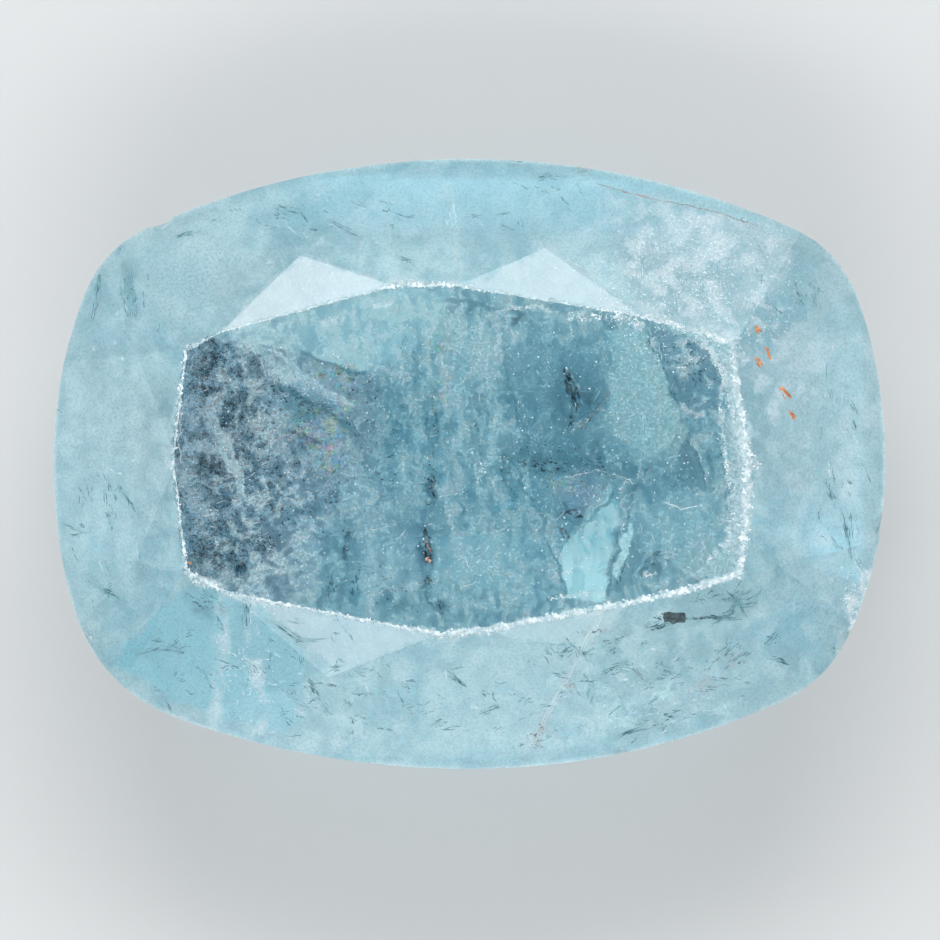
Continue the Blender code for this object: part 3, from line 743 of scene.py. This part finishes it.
def paint_rim(f):
    """The white core of the worn table edge."""
    upper = f.on_table + f.on_crown
    f.wanted = upper > 0
    azimuth = np.degrees(np.arctan2(f.places[:, 1], f.places[:, 0]))
    outer, inner, density = rim_at(azimuth)
    away = f.distance_to(TABLE_CORNERS, closed=True)
    reach = np.where(f.on_table > 0, inner, outer)
    ragged = 0.6 + 0.8 * smooth_step(f.field(7, 61.5, 4), -0.4, 0.5)
    share = 1.0 - smooth_step(away, reach * ragged * 0.3, reach * ragged)
    f.lay(upper * share * smooth_step(reach, 0.5, 4.0) * 0.8, (0.84, 0.94, 0.98), 0.6, 0.6)
    for line, width, _count, _size in CRUMB_LINES:
        band = f.stroke(line, width * 1.2, 0.6) * smooth_step(f.field(6, 64.5, 3), -0.3, 0.2)
        f.lay(upper * band * 0.7, (0.8, 0.93, 0.97), 0.52, 0.5)


def rim_at(azimuth):
    """How far the rim's crumbling reaches out and in at an azimuth, in pixels, and its density."""
    known = np.array(sorted(RIM))
    return [np.interp(azimuth, known[:, 0], known[:, column], period=360.0) for column in (1, 2, 3)]


def beryl_material():
    """Pale blue-green beryl: clear where its milk is 0, cloudy where it is high."""
    material, shader, tree = new_material("beryl", IOR=1.577, Transmission_Weight=1.0)
    fine = noise_value(tree, millimetres(tree), 21.0, 2.0, 0.7)
    tint = add(tree, "ShaderNodeAttribute", set_attribute_name="tint").outputs["Color"]
    specks = add(tree, "ShaderNodeAttribute", set_attribute_name="specks").outputs["Fac"]
    shade = maths(tree, "MULTIPLY", specks, ramp(tree, fine, 0.38, 0.72))
    tint = blend(tree, shade, tint, (0.12, 0.22, 0.28, 1))
    milk = add(tree, "ShaderNodeAttribute", set_attribute_name="milk").outputs["Fac"]
    rough = add(tree, "ShaderNodeAttribute", set_attribute_name="rough").outputs["Fac"]
    pale = maths(tree, "MULTIPLY", specks, ramp(tree, fine, 0.52, 0.25, 0.0, 0.3))
    milk = maths(tree, "ADD", milk, pale)
    tree.links.new(maths(tree, "SUBTRACT", 1.0, milk), shader.inputs["Transmission Weight"])
    tree.links.new(rough, shader.inputs["Roughness"])
    tree.links.new(tint, shader.inputs["Base Color"])
    volume = add(tree, "ShaderNodeVolumeAbsorption", Color=(0.36, 0.86, 1.0, 1), Density=78.0)
    tree.links.new(volume.outputs[0], tree.nodes["Material Output"].inputs["Volume"])
    return material


stone_mesh, TABLE_CORNERS = finely_faced_stone()
finish = Finish(stone_mesh)
paint_crown(finish)
paint_table(finish)
paint_rim(finish)
finish.store(stone_mesh)
stone = bpy.data.objects.new("stone", stone_mesh)
bpy.context.scene.collection.objects.link(stone)
stone_mesh.materials.append(beryl_material())
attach(stone, "root")
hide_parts("aquamarine")

# What is in the stone, and on its worn edges

# The stone's surface in millimetres, for finding depths under it
SURFACE = BVHTree.FromPolygons(
    [vertex.co / MM for vertex in stone_mesh.vertices],
    [tuple(face.vertices) for face in stone_mesh.polygons],
)
GRAIN_CORNERS = [
    Vector(place) for place in ((1, 0, 0), (-1, 0, 0), (0, 1, 0), (0, -1, 0), (0, 0, 1), (0, 0, -1))
]
GRAIN_FACES = ((0, 2, 4), (2, 1, 4), (1, 3, 4), (3, 0, 4), (2, 0, 5), (1, 2, 5), (3, 1, 5), (0, 3, 5))


def under(px, py, depth):
    """The point a depth in millimetres under the surface, at a point of the photograph, or None."""
    place = spot(px, py) / MM
    hit = SURFACE.ray_cast(Vector((place.x, place.y, ABOVE)), Vector((0, 0, -1)))[0]
    return None if hit is None else Vector((hit.x, hit.y, hit.z - depth))


def speckle(name, dark, light, scale, roughness=0.6):
    """A material for small marks, its colour wandering from mark to mark and across each one."""
    material, shader, tree = new_material(name, IOR=1.45)
    where = millimetres(tree)
    wander = ramp(tree, noise_value(tree, where, scale, 2.0), 0.32, 0.68)
    tree.links.new(blend(tree, wander, (*dark, 1), (*light, 1)), shader.inputs["Base Color"])
    grain = noise_value(tree, where, scale * 3, 2.0)
    rough = ramp(tree, grain, 0.3, 0.7, roughness * 0.75, min(roughness * 1.25, 1.0))
    tree.links.new(rough, shader.inputs["Roughness"])
    return material


class Heap:
    """Many small closed shapes that become one piece. Places are in millimetres."""

    def __init__(self, name, material, seed):
        self.name, self.material = name, material
        self.dice = random.Random(seed)
        self.points, self.faces = [], []

    def add(self, points, faces):
        start = len(self.points)
        self.points += [Vector((point.x, point.y, min(point.z, TOP / MM))) for point in points]
        self.faces += [tuple(start + number for number in face) for face in faces]

    def grain(self, centre, size, flat=1.0, longer=1.0):
        """One rough-sided grain of a size in millimetres."""
        dice = self.dice
        spin = dice.uniform(0, math.tau)
        tilt = dice.uniform(-0.6, 0.6)
        points = []
        for corner in GRAIN_CORNERS:
            reach = size * dice.uniform(0.3, 0.62)
            x, y, z = corner.x * reach * longer, corner.y * reach, corner.z * reach * flat
            y, z = y * math.cos(tilt) - z * math.sin(tilt), y * math.sin(tilt) + z * math.cos(tilt)
            x, y = x * math.cos(spin) - y * math.sin(spin), x * math.sin(spin) + y * math.cos(spin)
            points.append(centre + Vector((x, y, z)))
        self.add(points, GRAIN_FACES)

    def thread(self, path, radius):
        """A thin three-sided thread along some points, pointed at both ends."""
        points = [path[0]]
        for number in range(1, len(path) - 1):
            along = (path[number + 1] - path[number - 1]).normalized()
            aside = along.cross(Vector((0.13, 0.21, 1))).normalized()
            across = along.cross(aside)
            wide = radius * self.dice.uniform(0.7, 1.2)
            for turn in range(3):
                angle = turn * math.tau / 3
                points.append(path[number] + (aside * math.cos(angle) + across * math.sin(angle)) * wide)
        points.append(path[-1])
        last, rings = len(points) - 1, len(path) - 2
        faces = [(0, 1 + (turn + 1) % 3, 1 + turn) for turn in range(3)]
        for ring in range(rings - 1):
            low = 1 + ring * 3
            for turn in range(3):
                faces.append((low + turn, low + (turn + 1) % 3, low + 3 + (turn + 1) % 3, low + 3 + turn))
        low = 1 + (rings - 1) * 3
        faces += [(low + turn, low + (turn + 1) % 3, last) for turn in range(3)]
        self.add(points, faces)

    def flake(self, corners, depth, thickness):
        """A thin closed plate with a corner at each point of the photograph, a depth under the surface."""
        upper = [under(px, py, depth) for px, py in corners]
        if None in upper:
            return
        lower = [point - Vector((0, 0, thickness)) for point in upper]
        count = len(upper)
        centre = sum(upper, Vector()) / count
        around = sum((a - centre).cross(b - centre).z for a, b in zip(upper, upper[1:] + upper[:1]))
        order = range(count) if around > 0 else range(count - 1, -1, -1)
        top = tuple(order)
        faces = [top, tuple(count + number for number in reversed(top))]
        faces += [(b, a, count + a, count + b) for a, b in zip(top, top[1:] + top[:1])]
        self.add(upper + lower, faces)

    def piece(self):
        """Makes the heap one object, in metres, riding on the stone."""
        mesh = bpy.data.meshes.new(self.name)
        mesh.from_pydata([point * MM for point in self.points], [], self.faces)
        mesh.materials.append(self.material)
        made = bpy.data.objects.new(self.name, mesh)
        bpy.context.scene.collection.objects.link(made)
        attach(made, "root")
        return made


def speckled(name, dark, light, scale, seed, roughness=0.6):
    """An empty heap with a speckled material of its own."""
    return Heap(name, speckle(name, dark, light, scale, roughness), seed)


def along(points, share):
    """The point a share of the way along a line through some points, and the line's direction there."""
    lengths = [math.dist(a, b) for a, b in zip(points, points[1:])]
    left = share * sum(lengths)
    for (x0, y0), (x1, y1), length in zip(points, points[1:], lengths):
        if left <= length or (x1, y1) == tuple(points[-1]):
            step = left / length
            return (x0 + (x1 - x0) * step, y0 + (y1 - y0) * step), ((x1 - x0) / length, (y1 - y0) / length)
        left -= length


def strewn(heap, line, width, count, size, depth, flat=0.6, longer=1.0):
    """Strews grains along a line: its width in pixels, their sizes and depths in millimetres."""
    for _ in range(count):
        (px, py), (dx, dy) = along(line, heap.dice.random())
        aside = heap.dice.gauss(0, width / 3)
        centre = under(px - dy * aside, py + dx * aside, heap.dice.uniform(*depth))
        if centre is not None:
            heap.grain(centre, heap.dice.uniform(*size), flat, longer)


def scattered(heap, middle, radii, count, size, depth, flat=0.7, longer=1.0, crowding=0.5):
    """Scatters grains over an oval, more of them towards its middle."""
    for _ in range(count):
        angle = heap.dice.uniform(0, math.tau)
        reach = heap.dice.random() ** crowding
        px = middle[0] + radii[0] * reach * math.cos(angle)
        py = middle[1] + radii[1] * reach * math.sin(angle)
        centre = under(px, py, heap.dice.uniform(*depth))
        if centre is not None:
            heap.grain(centre, heap.dice.uniform(*size), flat, longer)


def shards(heap, middle, radii, turn, count, length, depth):
    """Thin ragged plates, lying much the same way, in an oval."""
    lean = math.radians(turn)
    for _ in range(count):
        angle = heap.dice.uniform(0, math.tau)
        reach = heap.dice.random() ** 0.6
        near, aside = radii[0] * reach * math.cos(angle), radii[1] * reach * math.sin(angle)
        px = middle[0] + near * math.cos(lean) - aside * math.sin(lean)
        py = middle[1] + near * math.sin(lean) + aside * math.cos(lean)
        longer = heap.dice.uniform(*length) / 2
        wider = longer * heap.dice.uniform(0.22, 0.5)
        spin = lean + heap.dice.gauss(0, 0.35)
        corners = []
        for number in range(7):
            way = number * math.tau / 7
            out = heap.dice.uniform(0.65, 1.25)
            x, y = longer * out * math.cos(way), wider * out * math.sin(way)
            x, y = x * math.cos(spin) - y * math.sin(spin), x * math.sin(spin) + y * math.cos(spin)
            corners.append((px + x, py + y))
        heap.flake(corners, heap.dice.uniform(*depth), SHARD_THICKNESS)


def feather(heap, line, width, count, radius=(0.003, 0.008)):
    """Thin broken fibres side by side along a line of the photograph, on the surface."""
    for _ in range(count):
        start = heap.dice.uniform(0.0, 0.7)
        reach = heap.dice.uniform(0.15, 0.5)
        aside = heap.dice.gauss(0, width / 2)
        path = []
        for number in range(5):
            (px, py), (dx, dy) = along(line, min(start + reach * number / 4, 1.0))
            px += heap.dice.gauss(0, 0.4) - dy * aside
            py += heap.dice.gauss(0, 0.4) + dx * aside
            path.append(under(px, py, 0.0))
        if None not in path:
            heap.thread(path, heap.dice.uniform(*radius))


def feathers(heap, middle, radii, count, angle, spread, length, width, fibres, radius):
    """Short feathers strewn about a point of the photograph, at about one angle in degrees."""
    dice = heap.dice
    for _ in range(count):
        px, py = dice.gauss(middle[0], radii[0] / 2), dice.gauss(middle[1], radii[1] / 2)
        line = short_line(px, py, dice.gauss(angle, spread), dice.uniform(*length))
        feather(heap, line, dice.uniform(*width), dice.randrange(*fibres), radius)


def short_line(px, py, angle, length):
    """The two ends of a line through a point of the photograph, at an angle in degrees."""
    turn = math.radians(angle)
    dx, dy = math.cos(turn) * length / 2, math.sin(turn) * length / 2
    return (px - dx, py - dy), (px + dx, py + dy)


def hair(heap, start, angle, length, radius, depth, curl=0.25):
    """One fine hair from a point of the photograph, at an angle in degrees, wandering a little."""
    turn = math.radians(angle)
    steps = max(3, int(length / 4))
    px, py = start
    path = []
    for _ in range(steps + 1):
        point = under(px, py, depth)
        if point is None:
            return
        path.append(point)
        px += math.cos(turn) * length / steps
        py += math.sin(turn) * length / steps
        turn += heap.dice.gauss(0, curl)
    heap.thread(path, radius)


def drawn(heap, line, radius, depth, wobble=0.6):
    """A hair along points of the photograph, with a small wobble."""
    total = sum(math.dist(a, b) for a, b in zip(line, line[1:]))
    steps = max(3, int(total / 4))
    path = []
    for number in range(steps + 1):
        (px, py), (dx, dy) = along(line, number / steps)
        aside = heap.dice.gauss(0, wobble)
        point = under(px - dy * aside, py + dx * aside, depth)
        if point is not None:
            path.append(point)
    if len(path) > 3:
        heap.thread(path, radius)


ORANGE_FLECKS = (
    (756, 330, 8, 60), (767, 354, 9, 70), (757, 363, 10, 55), (782, 394, 14, 62), (791, 416, 7, 50),
)
BLACK_BLOCK = (
    (663, 612), (668, 611), (672, 612), (684, 612), (685, 617), (684, 622), (676, 622), (672, 624),
    (668, 621), (664, 622), (662, 617),
)


def table_edge_crumbs(heap):
    """Crumbs along the whole worn table edge, as the rim's finish has them."""
    count = len(TABLE_CORNERS)
    for number, (x0, y0) in enumerate(TABLE_CORNERS):
        x1, y1 = TABLE_CORNERS[(number + 1) % count]
        length = math.dist((x0, y0), (x1, y1))
        if length < 1.0:
            continue
        for _ in range(2):
            radius, depth = heap.dice.uniform(0.005, 0.01), heap.dice.uniform(-0.004, 0.0)
            drawn(heap, ((x0, y0), (x1, y1)), radius, depth, 0.5)
        outward = Vector((y1 - y0, x0 - x1)).normalized()
        if outward.dot(Vector((x0 + x1, y0 + y1)) / 2 - Vector(MIDDLE)) < 0:
            outward = -outward
        for step in range(int(length)):
            share = (step + 0.5) / length
            px, py = x0 + (x1 - x0) * share, y0 + (y1 - y0) * share
            azimuth = math.degrees(math.atan2(MIDDLE[1] - py, px - MIDDLE[0]))
            outer, inner, density = (float(value) for value in rim_at(azimuth))
            ragged = 0.55 + 0.9 * noise.noise(Vector((px / 9, py / 9, 2.5))) ** 2 + 0.4 * heap.dice.random()
            grains = density * (outer + inner) * 0.42 * ragged + heap.dice.random()
            for _ in range(int(grains)):
                aside = heap.dice.triangular(-inner, outer, 0.0) * (0.6 + ragged * 0.5)
                slide = heap.dice.uniform(-0.7, 0.7)
                centre = under(px + outward.x * aside + slide, py + outward.y * aside, 0.0)
                if centre is None:
                    continue
                size = (1.0 + (1.6 + 0.45 * (outer + inner)) * heap.dice.random() ** 2.0) * PIXEL_MM
                centre.z = min(centre.z, TOP / MM - size * 0.1)
                heap.grain(centre, size, 0.4, heap.dice.uniform(1.0, 1.6))


def pieces_in_the_stone():
    """Makes every piece that is in or on the stone."""
    beryl_dust = speckle("crumbled_beryl", (0.38, 0.53, 0.59), (0.76, 0.84, 0.87), 8.0)
    crumbs = Heap("rim_crumbs", beryl_dust, 11)
    table_edge_crumbs(crumbs)
    for line, width, count, size in CRUMB_LINES:
        strewn(crumbs, line, width, count, size, (0.0, 0.01), 0.5)
    crumbs.piece()

    dust = speckled("white_dust", (0.6, 0.74, 0.8), (0.92, 0.96, 0.98), 9.0, 12)
    for middle, radii, count, size in (
        ((235, 465), (58, 120), 1500, (0.014, 0.036)), ((300, 460), (110, 130), 1600, (0.014, 0.034)),
        ((460, 460), (250, 150), 2400, (0.014, 0.036)), ((220, 545), (38, 42), 380, (0.014, 0.034)),
        ((560, 470), (70, 70), 260, (0.016, 0.036)), ((640, 380), (80, 60), 220, (0.016, 0.036)),
        ((720, 470), (18, 110), 160, (0.02, 0.05)), ((470, 340), (150, 40), 220, (0.014, 0.034)),
    ):
        scattered(dust, middle, radii, count, size, (0.003, 0.05), crowding=0.6)
    for middle, radii, count, size in (
        ((600, 450), (130, 140), 260, (0.014, 0.044)), ((330, 460), (150, 130), 240, (0.014, 0.036)),
        ((470, 350), (120, 60), 100, (0.012, 0.034)), ((450, 570), (160, 40), 100, (0.012, 0.034)),
    ):
        scattered(dust, middle, radii, count, size, (-0.004, 0.004), 0.5, crowding=0.6)
    for line, width, count in (
        (((202, 405), (212, 420), (225, 440), (237, 465), (245, 495)), 7, 150),
        (((190, 436), (198, 443), (212, 448), (226, 462)), 5, 80), (((600, 408), (570, 432)), 4, 40),
        (((272, 382), (295, 387), (315, 402), (337, 419)), 3, 60),
        (((288, 460), (291, 472), (278, 486)), 3, 40), (((440, 480), (436, 510), (440, 560)), 14, 60),
        (((530, 485), (550, 530), (570, 592)), 5, 60), (((636, 485), (615, 550), (604, 592)), 4, 50),
        (((365, 413), (372, 432)), 7, 26),
    ):
        strewn(dust, line, width, count, (0.014, 0.036), (0.003, 0.03))
    dust.piece()

    hairs = speckled("white_hairs", (0.55, 0.7, 0.78), (0.88, 0.94, 0.96), 8.0, 13)
    for line in WHITE_HAIRS:
        for _ in range(2):
            drawn(hairs, line, hairs.dice.uniform(0.004, 0.008), hairs.dice.uniform(0.003, 0.01), 1.1)
        count = int(sum(math.dist(a, b) for a, b in zip(line, line[1:])) * 0.9)
        strewn(hairs, line, 3.5, count // 2, (0.01, 0.028), (0.0, 0.008), 0.7, 1.5)
    for middle, radii, count, tilt in (
        ((240, 470), (62, 120), 110, 12), ((330, 470), (95, 120), 110, 10),
        ((470, 460), (200, 130), 120, 25), ((620, 460), (110, 110), 60, 60), ((450, 370), (40, 60), 40, 85),
        ((640, 540), (70, 40), 30, 40),
    ):
        for _ in range(count):
            start = (hairs.dice.gauss(middle[0], radii[0] / 2), hairs.dice.gauss(middle[1], radii[1] / 2))
            angle = hairs.dice.gauss(-8 if tilt < 30 else tilt, tilt * 1.2)
            length, radius = hairs.dice.uniform(5, 20), hairs.dice.uniform(0.006, 0.01)
            hair(hairs, start, angle, length, radius, 0.006, 0.3)
    hairs.piece()

    dark = speckled("dark_grains", (0.02, 0.06, 0.085), (0.12, 0.19, 0.22), 8.0, 14)
    for middle, radii, count, size in (
        ((238, 460), (60, 118), 1000, (0.018, 0.06)), ((208, 372), (22, 36), 160, (0.018, 0.06)),
        ((215, 465), (28, 20), 80, (0.015, 0.05)), ((212, 545), (30, 28), 150, (0.015, 0.05)),
        ((320, 450), (80, 90), 420, (0.015, 0.05)), ((545, 462), (45, 25), 110, (0.015, 0.04)),
        ((590, 470), (30, 30), 60, (0.015, 0.04)), ((682, 365), (34, 40), 80, (0.015, 0.04)),
        ((385, 590), (60, 25), 60, (0.015, 0.04)), ((430, 480), (8, 30), 50, (0.015, 0.04)),
    ):
        scattered(dark, middle, radii, count, size, (0.004, 0.06), 0.6, 1.7, 0.6)
    for middle, radii, turn, count, length in BLACK_SHARDS:
        shards(dark, middle, radii, turn, count, (length[0] * 0.7, length[1] * 0.75), (0.01, 0.09))
    dark.piece()

    teal = speckled("teal_shards", (0.07, 0.22, 0.28), (0.2, 0.42, 0.5), 7.0, 21)
    for middle, radii, turn, count, length in TEAL_SHARDS:
        length = (length[0] * 0.6, length[1] * 0.65)
        shards(teal, middle, radii, turn, int(count * 1.3), length, (0.01, 0.09))
    teal.piece()

    needles = speckled("dark_needles", (0.04, 0.14, 0.18), (0.2, 0.4, 0.46), 5.0, 15)
    for line in DARK_HAIRS[1:]:
        feather(needles, line, 2.8, 13, (0.004, 0.01))
    for middle, radii, count, angle, spread in (
        ((380, 700), (150, 45), 60, 20, 35), ((300, 665), (90, 50), 34, 35, 30),
        ((170, 660), (60, 35), 22, 20, 30), ((660, 690), (120, 40), 40, -18, 25),
        ((100, 500), (35, 110), 26, 60, 30), ((840, 500), (28, 100), 30, 75, 15),
        ((330, 215), (130, 30), 26, 20, 20), ((520, 210), (110, 40), 14, 15, 30),
        ((560, 655), (40, 40), 14, 50, 20), ((130, 300), (18, 36), 22, 85, 12),
        ((780, 280), (40, 30), 10, 60, 20),
    ):
        count = int(count * 0.7)
        feathers(needles, middle, radii, count, angle, spread, (8, 30), (1.0, 5.0), (2, 8), (0.004, 0.009))
    for middle, radii, turn, count in CROWN_SHARDS:
        lean = math.radians(turn)
        for _ in range(int(count * 0.65)):
            near, aside = needles.dice.gauss(0, radii[0] / 2), needles.dice.gauss(0, radii[1] / 2)
            px = middle[0] + near * math.cos(lean) - aside * math.sin(lean)
            py = middle[1] + near * math.sin(lean) + aside * math.cos(lean)
            line = short_line(px, py, needles.dice.gauss(turn, 14), needles.dice.uniform(7, 22))
            width, fibres = needles.dice.uniform(1.0, 3.0), needles.dice.randrange(3, 8)
            feather(needles, line, width, fibres, (0.004, 0.009))
    needles.piece()

    block = speckled("black_block", (0.006, 0.022, 0.028), (0.06, 0.11, 0.13), 12.0, 16, 0.5)
    block.flake(BLACK_BLOCK, -0.004, BLOCK_THICKNESS)
    for middle, radii, turn, count, length in (
        ((660, 616), (7, 3), 0, 9, (2, 6)), ((656, 627), (10, 2), -15, 9, (2, 6)),
        ((703, 617), (20, 0.6), -4, 16, (3, 8)),
    ):
        shards(block, middle, radii, turn, count, length, (-0.002, 0.002))
    block.piece()

    rust = speckled("rusty_flecks", (0.34, 0.12, 0.05), (0.72, 0.3, 0.12), 12.0, 17, 0.5)
    for px, py, length, angle in ORANGE_FLECKS:
        hair(rust, (px - 2, py - length * 0.6), angle, length * 1.3, 0.036, 0.0, 0.15)
        shards(rust, (px, py), (length * 0.6, 2), angle, 7, (3, 7), (-0.002, 0.001))
    strewn(rust, ((191, 561), (192, 566)), 3, 5, (0.03, 0.05), (0.0, 0.01))
    rust.piece()

    thread = speckled("brown_thread", (0.2, 0.1, 0.09), (0.52, 0.34, 0.3), 3.0, 18)
    drawn(thread, DARK_HAIRS[0], 0.008, 0.001, 0.35)
    strewn(thread, DARK_HAIRS[0], 3, 60, (0.015, 0.035), (0.0, 0.01), 0.5, 1.6)
    strewn(thread, ((425, 538), (430, 550), (429, 562)), 4, 26, (0.03, 0.07), (0.0, 0.02), 0.6, 1.5)
    strewn(thread, ((530, 742), (545, 728)), 10, 24, (0.02, 0.05), (0.0, 0.01))
    strewn(thread, ((585, 630), (612, 628)), 8, 24, (0.02, 0.05), (0.0, 0.01))
    strewn(thread, ((560, 690), (575, 684)), 5, 14, (0.02, 0.05), (0.0, 0.01))
    thread.piece()

    sparks = speckled("pale_flecks", (0.62, 0.8, 0.86), (0.92, 0.97, 1.0), 9.0, 19)
    for middle, radii, count, size in (
        ((700, 285), (105, 85), 2400, (0.012, 0.042)), ((840, 470), (45, 150), 500, (0.012, 0.034)),
        ((470, 700), (300, 50), 800, (0.012, 0.03)), ((100, 470), (50, 170), 400, (0.011, 0.026)),
        ((350, 230), (180, 50), 500, (0.011, 0.026)), ((857, 604), (14, 48), 160, (0.02, 0.05)),
        ((245, 665), (30, 60), 120, (0.014, 0.036)), ((640, 700), (70, 35), 260, (0.012, 0.032)),
        ((550, 280), (60, 25), 60, (0.012, 0.024)), ((310, 290), (60, 22), 60, (0.012, 0.024)),
    ):
        scattered(sparks, middle, radii, count, size, (0.0, 0.006), 0.4, crowding=0.7)
    strewn(sparks, HEALED_CRACK, 5, 70, (0.012, 0.03), (0.0, 0.006), 0.4)
    feather(sparks, HEALED_CRACK, 3.5, 12, (0.002, 0.005))
    for middle, radii, count, angle, spread in (
        ((640, 700), (80, 40), 46, -20, 20), ((300, 680), (100, 50), 40, 30, 30),
        ((700, 290), (90, 70), 40, 40, 40), ((840, 450), (40, 140), 30, 80, 20),
        ((100, 450), (40, 150), 24, 80, 25), ((350, 220), (160, 40), 30, 15, 20),
        ((470, 700), (120, 45), 30, 60, 40), ((250, 660), (30, 60), 26, 85, 10),
        ((455, 225), (8, 40), 10, 80, 8),
    ):
        feathers(sparks, middle, radii, count, angle, spread, (6, 24), (0.8, 3.0), (1, 4), (0.002, 0.006))
    edge = ((578, 168), (589, 177), (602, 210), (612, 246), (628, 282), (640, 315))
    strewn(sparks, edge, 4, 90, (0.014, 0.036), (0.0, 0.006), 0.4)
    strewn(sparks, ((318, 738), (440, 762), (520, 764)), 4, 50, (0.016, 0.04), (0.0, 0.006), 0.4)
    sparks.piece()

    rainbow = Heap("rainbow_flakes", rainbow_material(), 20)
    for middle, radii, count in (
        ((316, 432), (34, 24), 80), ((342, 372), (24, 14), 50), ((330, 450), (14, 8), 16),
        ((330, 468), (12, 8), 12), ((445, 390), (10, 14), 18), ((340, 408), (14, 6), 12),
        ((440, 345), (12, 16), 10),
    ):
        for _ in range(count):
            px = rainbow.dice.gauss(middle[0], radii[0] / 2)
            py = rainbow.dice.gauss(middle[1], radii[1] / 2)
            spin = rainbow.dice.uniform(0, math.tau)
            reach = rainbow.dice.uniform(1.2, 3.4)
            corners = [(px + reach * rainbow.dice.uniform(0.6, 1.3) * math.cos(spin + turn * math.tau / 5),
                        py + reach * rainbow.dice.uniform(0.6, 1.3) * math.sin(spin + turn * math.tau / 5))
                       for turn in range(5)]
            rainbow.flake(corners, rainbow.dice.uniform(0.01, 0.03), FILM_THICKNESS)
    rainbow.piece()


def rainbow_material():
    """The play of colour of thin films in the stone."""
    material, shader, tree = new_material("rainbow_film", Roughness=0.35)
    hue = noise_value(tree, millimetres(tree), 5.0, 2.0)
    colours = add(tree, "ShaderNodeValToRGB", Fac=hue)
    steps = colours.color_ramp.elements
    steps[0].position, steps[0].color = 0.3, (0.16, 0.42, 0.8, 1)
    steps[1].position, steps[1].color = 0.72, (0.66, 0.42, 0.72, 1)
    for place, colour in (
        (0.42, (0.3, 0.78, 0.92, 1)), (0.5, (0.4, 0.7, 0.74, 1)), (0.57, (0.45, 0.78, 0.5, 1)),
        (0.64, (0.8, 0.72, 0.5, 1)),
    ):
        steps.new(place).color = colour
    tree.links.new(colours.outputs[0], shader.inputs["Base Color"])
    return material


pieces_in_the_stone()

# Floor, light and camera

floor_material, floor_shader, floor_tree = new_material("floor", Roughness=0.85)
grain = noise_value(floor_tree, millimetres(floor_tree), 0.02, 1.0)
floor_colour = blend(floor_tree, grain, (0.6, 0.61, 0.62, 1), (0.64, 0.65, 0.655, 1))
floor_tree.links.new(floor_colour, floor_shader.inputs["Base Color"])
bpy.ops.mesh.primitive_plane_add(size=1.6, location=(0, 0, -0.04 * MM))
floor = bpy.context.object
floor.name = "floor"
floor.data.materials.append(floor_material)


def softbox(name, azimuth, from_zenith, width, height, radiance):
    """A soft rectangular light facing the stone, its sizes in millimetres."""
    lamp = bpy.data.lights.new(name, "AREA")
    lamp.shape = "RECTANGLE"
    lamp.size = width * MM
    lamp.size_y = height * MM
    lamp.energy = radiance * math.pi * lamp.size * lamp.size_y
    holder = bpy.data.objects.new(name, lamp)
    bpy.context.scene.collection.objects.link(holder)
    lean, turn = math.radians(from_zenith), math.radians(azimuth)
    way = Vector((math.cos(turn) * math.sin(lean), math.sin(turn) * math.sin(lean), math.cos(lean)))
    holder.location = way * LAMP_DISTANCE
    holder.rotation_euler = way.to_track_quat("Z", "Y").to_euler()


softbox("upper_softbox", 91, 43, 62, 40, 5.1)
softbox("lower_softbox", 262, 31, 50, 22, 4.2)
softbox("front_softbox", 270, 67, 90, 28, 2.4)
softbox("left_softbox", 180, 67, 60, 28, 1.8)
softbox("right_softbox", 0, 67, 60, 28, 1.5)

world = bpy.data.worlds.new("studio")
bpy.context.scene.world = world
world.use_nodes = True
sky_tree = world.node_tree
where_in_sky = add(sky_tree, "ShaderNodeTexCoord").outputs["Generated"]
sky_height = add(sky_tree, "ShaderNodeSeparateXYZ", i0=where_in_sky).outputs["Z"]
sky = add(sky_tree, "ShaderNodeValToRGB", Fac=sky_height)
steps = sky.color_ramp.elements
steps[0].position, steps[0].color = 0.0, (0.5, 0.52, 0.53, 1)
steps[1].position, steps[1].color = 1.0, (0.13, 0.135, 0.14, 1)
for height, level in ((0.3, 0.79), (0.72, 0.72), (0.92, 0.165)):
    step = steps.new(height)
    step.color = (level * 0.96, level, level * 1.01, 1)
sky_tree.links.new(sky.outputs[0], sky_tree.nodes["Background"].inputs["Color"])

camera_data = bpy.data.cameras.new("camera")
camera_data.sensor_width = 36.0
camera_data.lens = camera_data.sensor_width * CAMERA_DISTANCE / (IMAGE_WIDTH * PIXEL)
camera_data.clip_start = 0.01
camera_data.clip_end = 10.0
camera = bpy.data.objects.new("camera", camera_data)
bpy.context.scene.collection.objects.link(camera)
camera.location = (
    (IMAGE_MIDDLE - MIDDLE[0]) * PIXEL, (MIDDLE[1] - IMAGE_MIDDLE) * PIXEL, GIRDLE + CAMERA_DISTANCE
)
bpy.context.scene.camera = camera

scene = bpy.context.scene
scene.view_settings.view_transform = "Standard"
scene.cycles.max_bounces = 4
scene.cycles.transmission_bounces = 4
scene.cycles.glossy_bounces = 3
scene.cycles.diffuse_bounces = 1
scene.cycles.use_denoising = True
scene.cycles.debug_use_spatial_splits = True
scene.cycles.use_light_tree = False
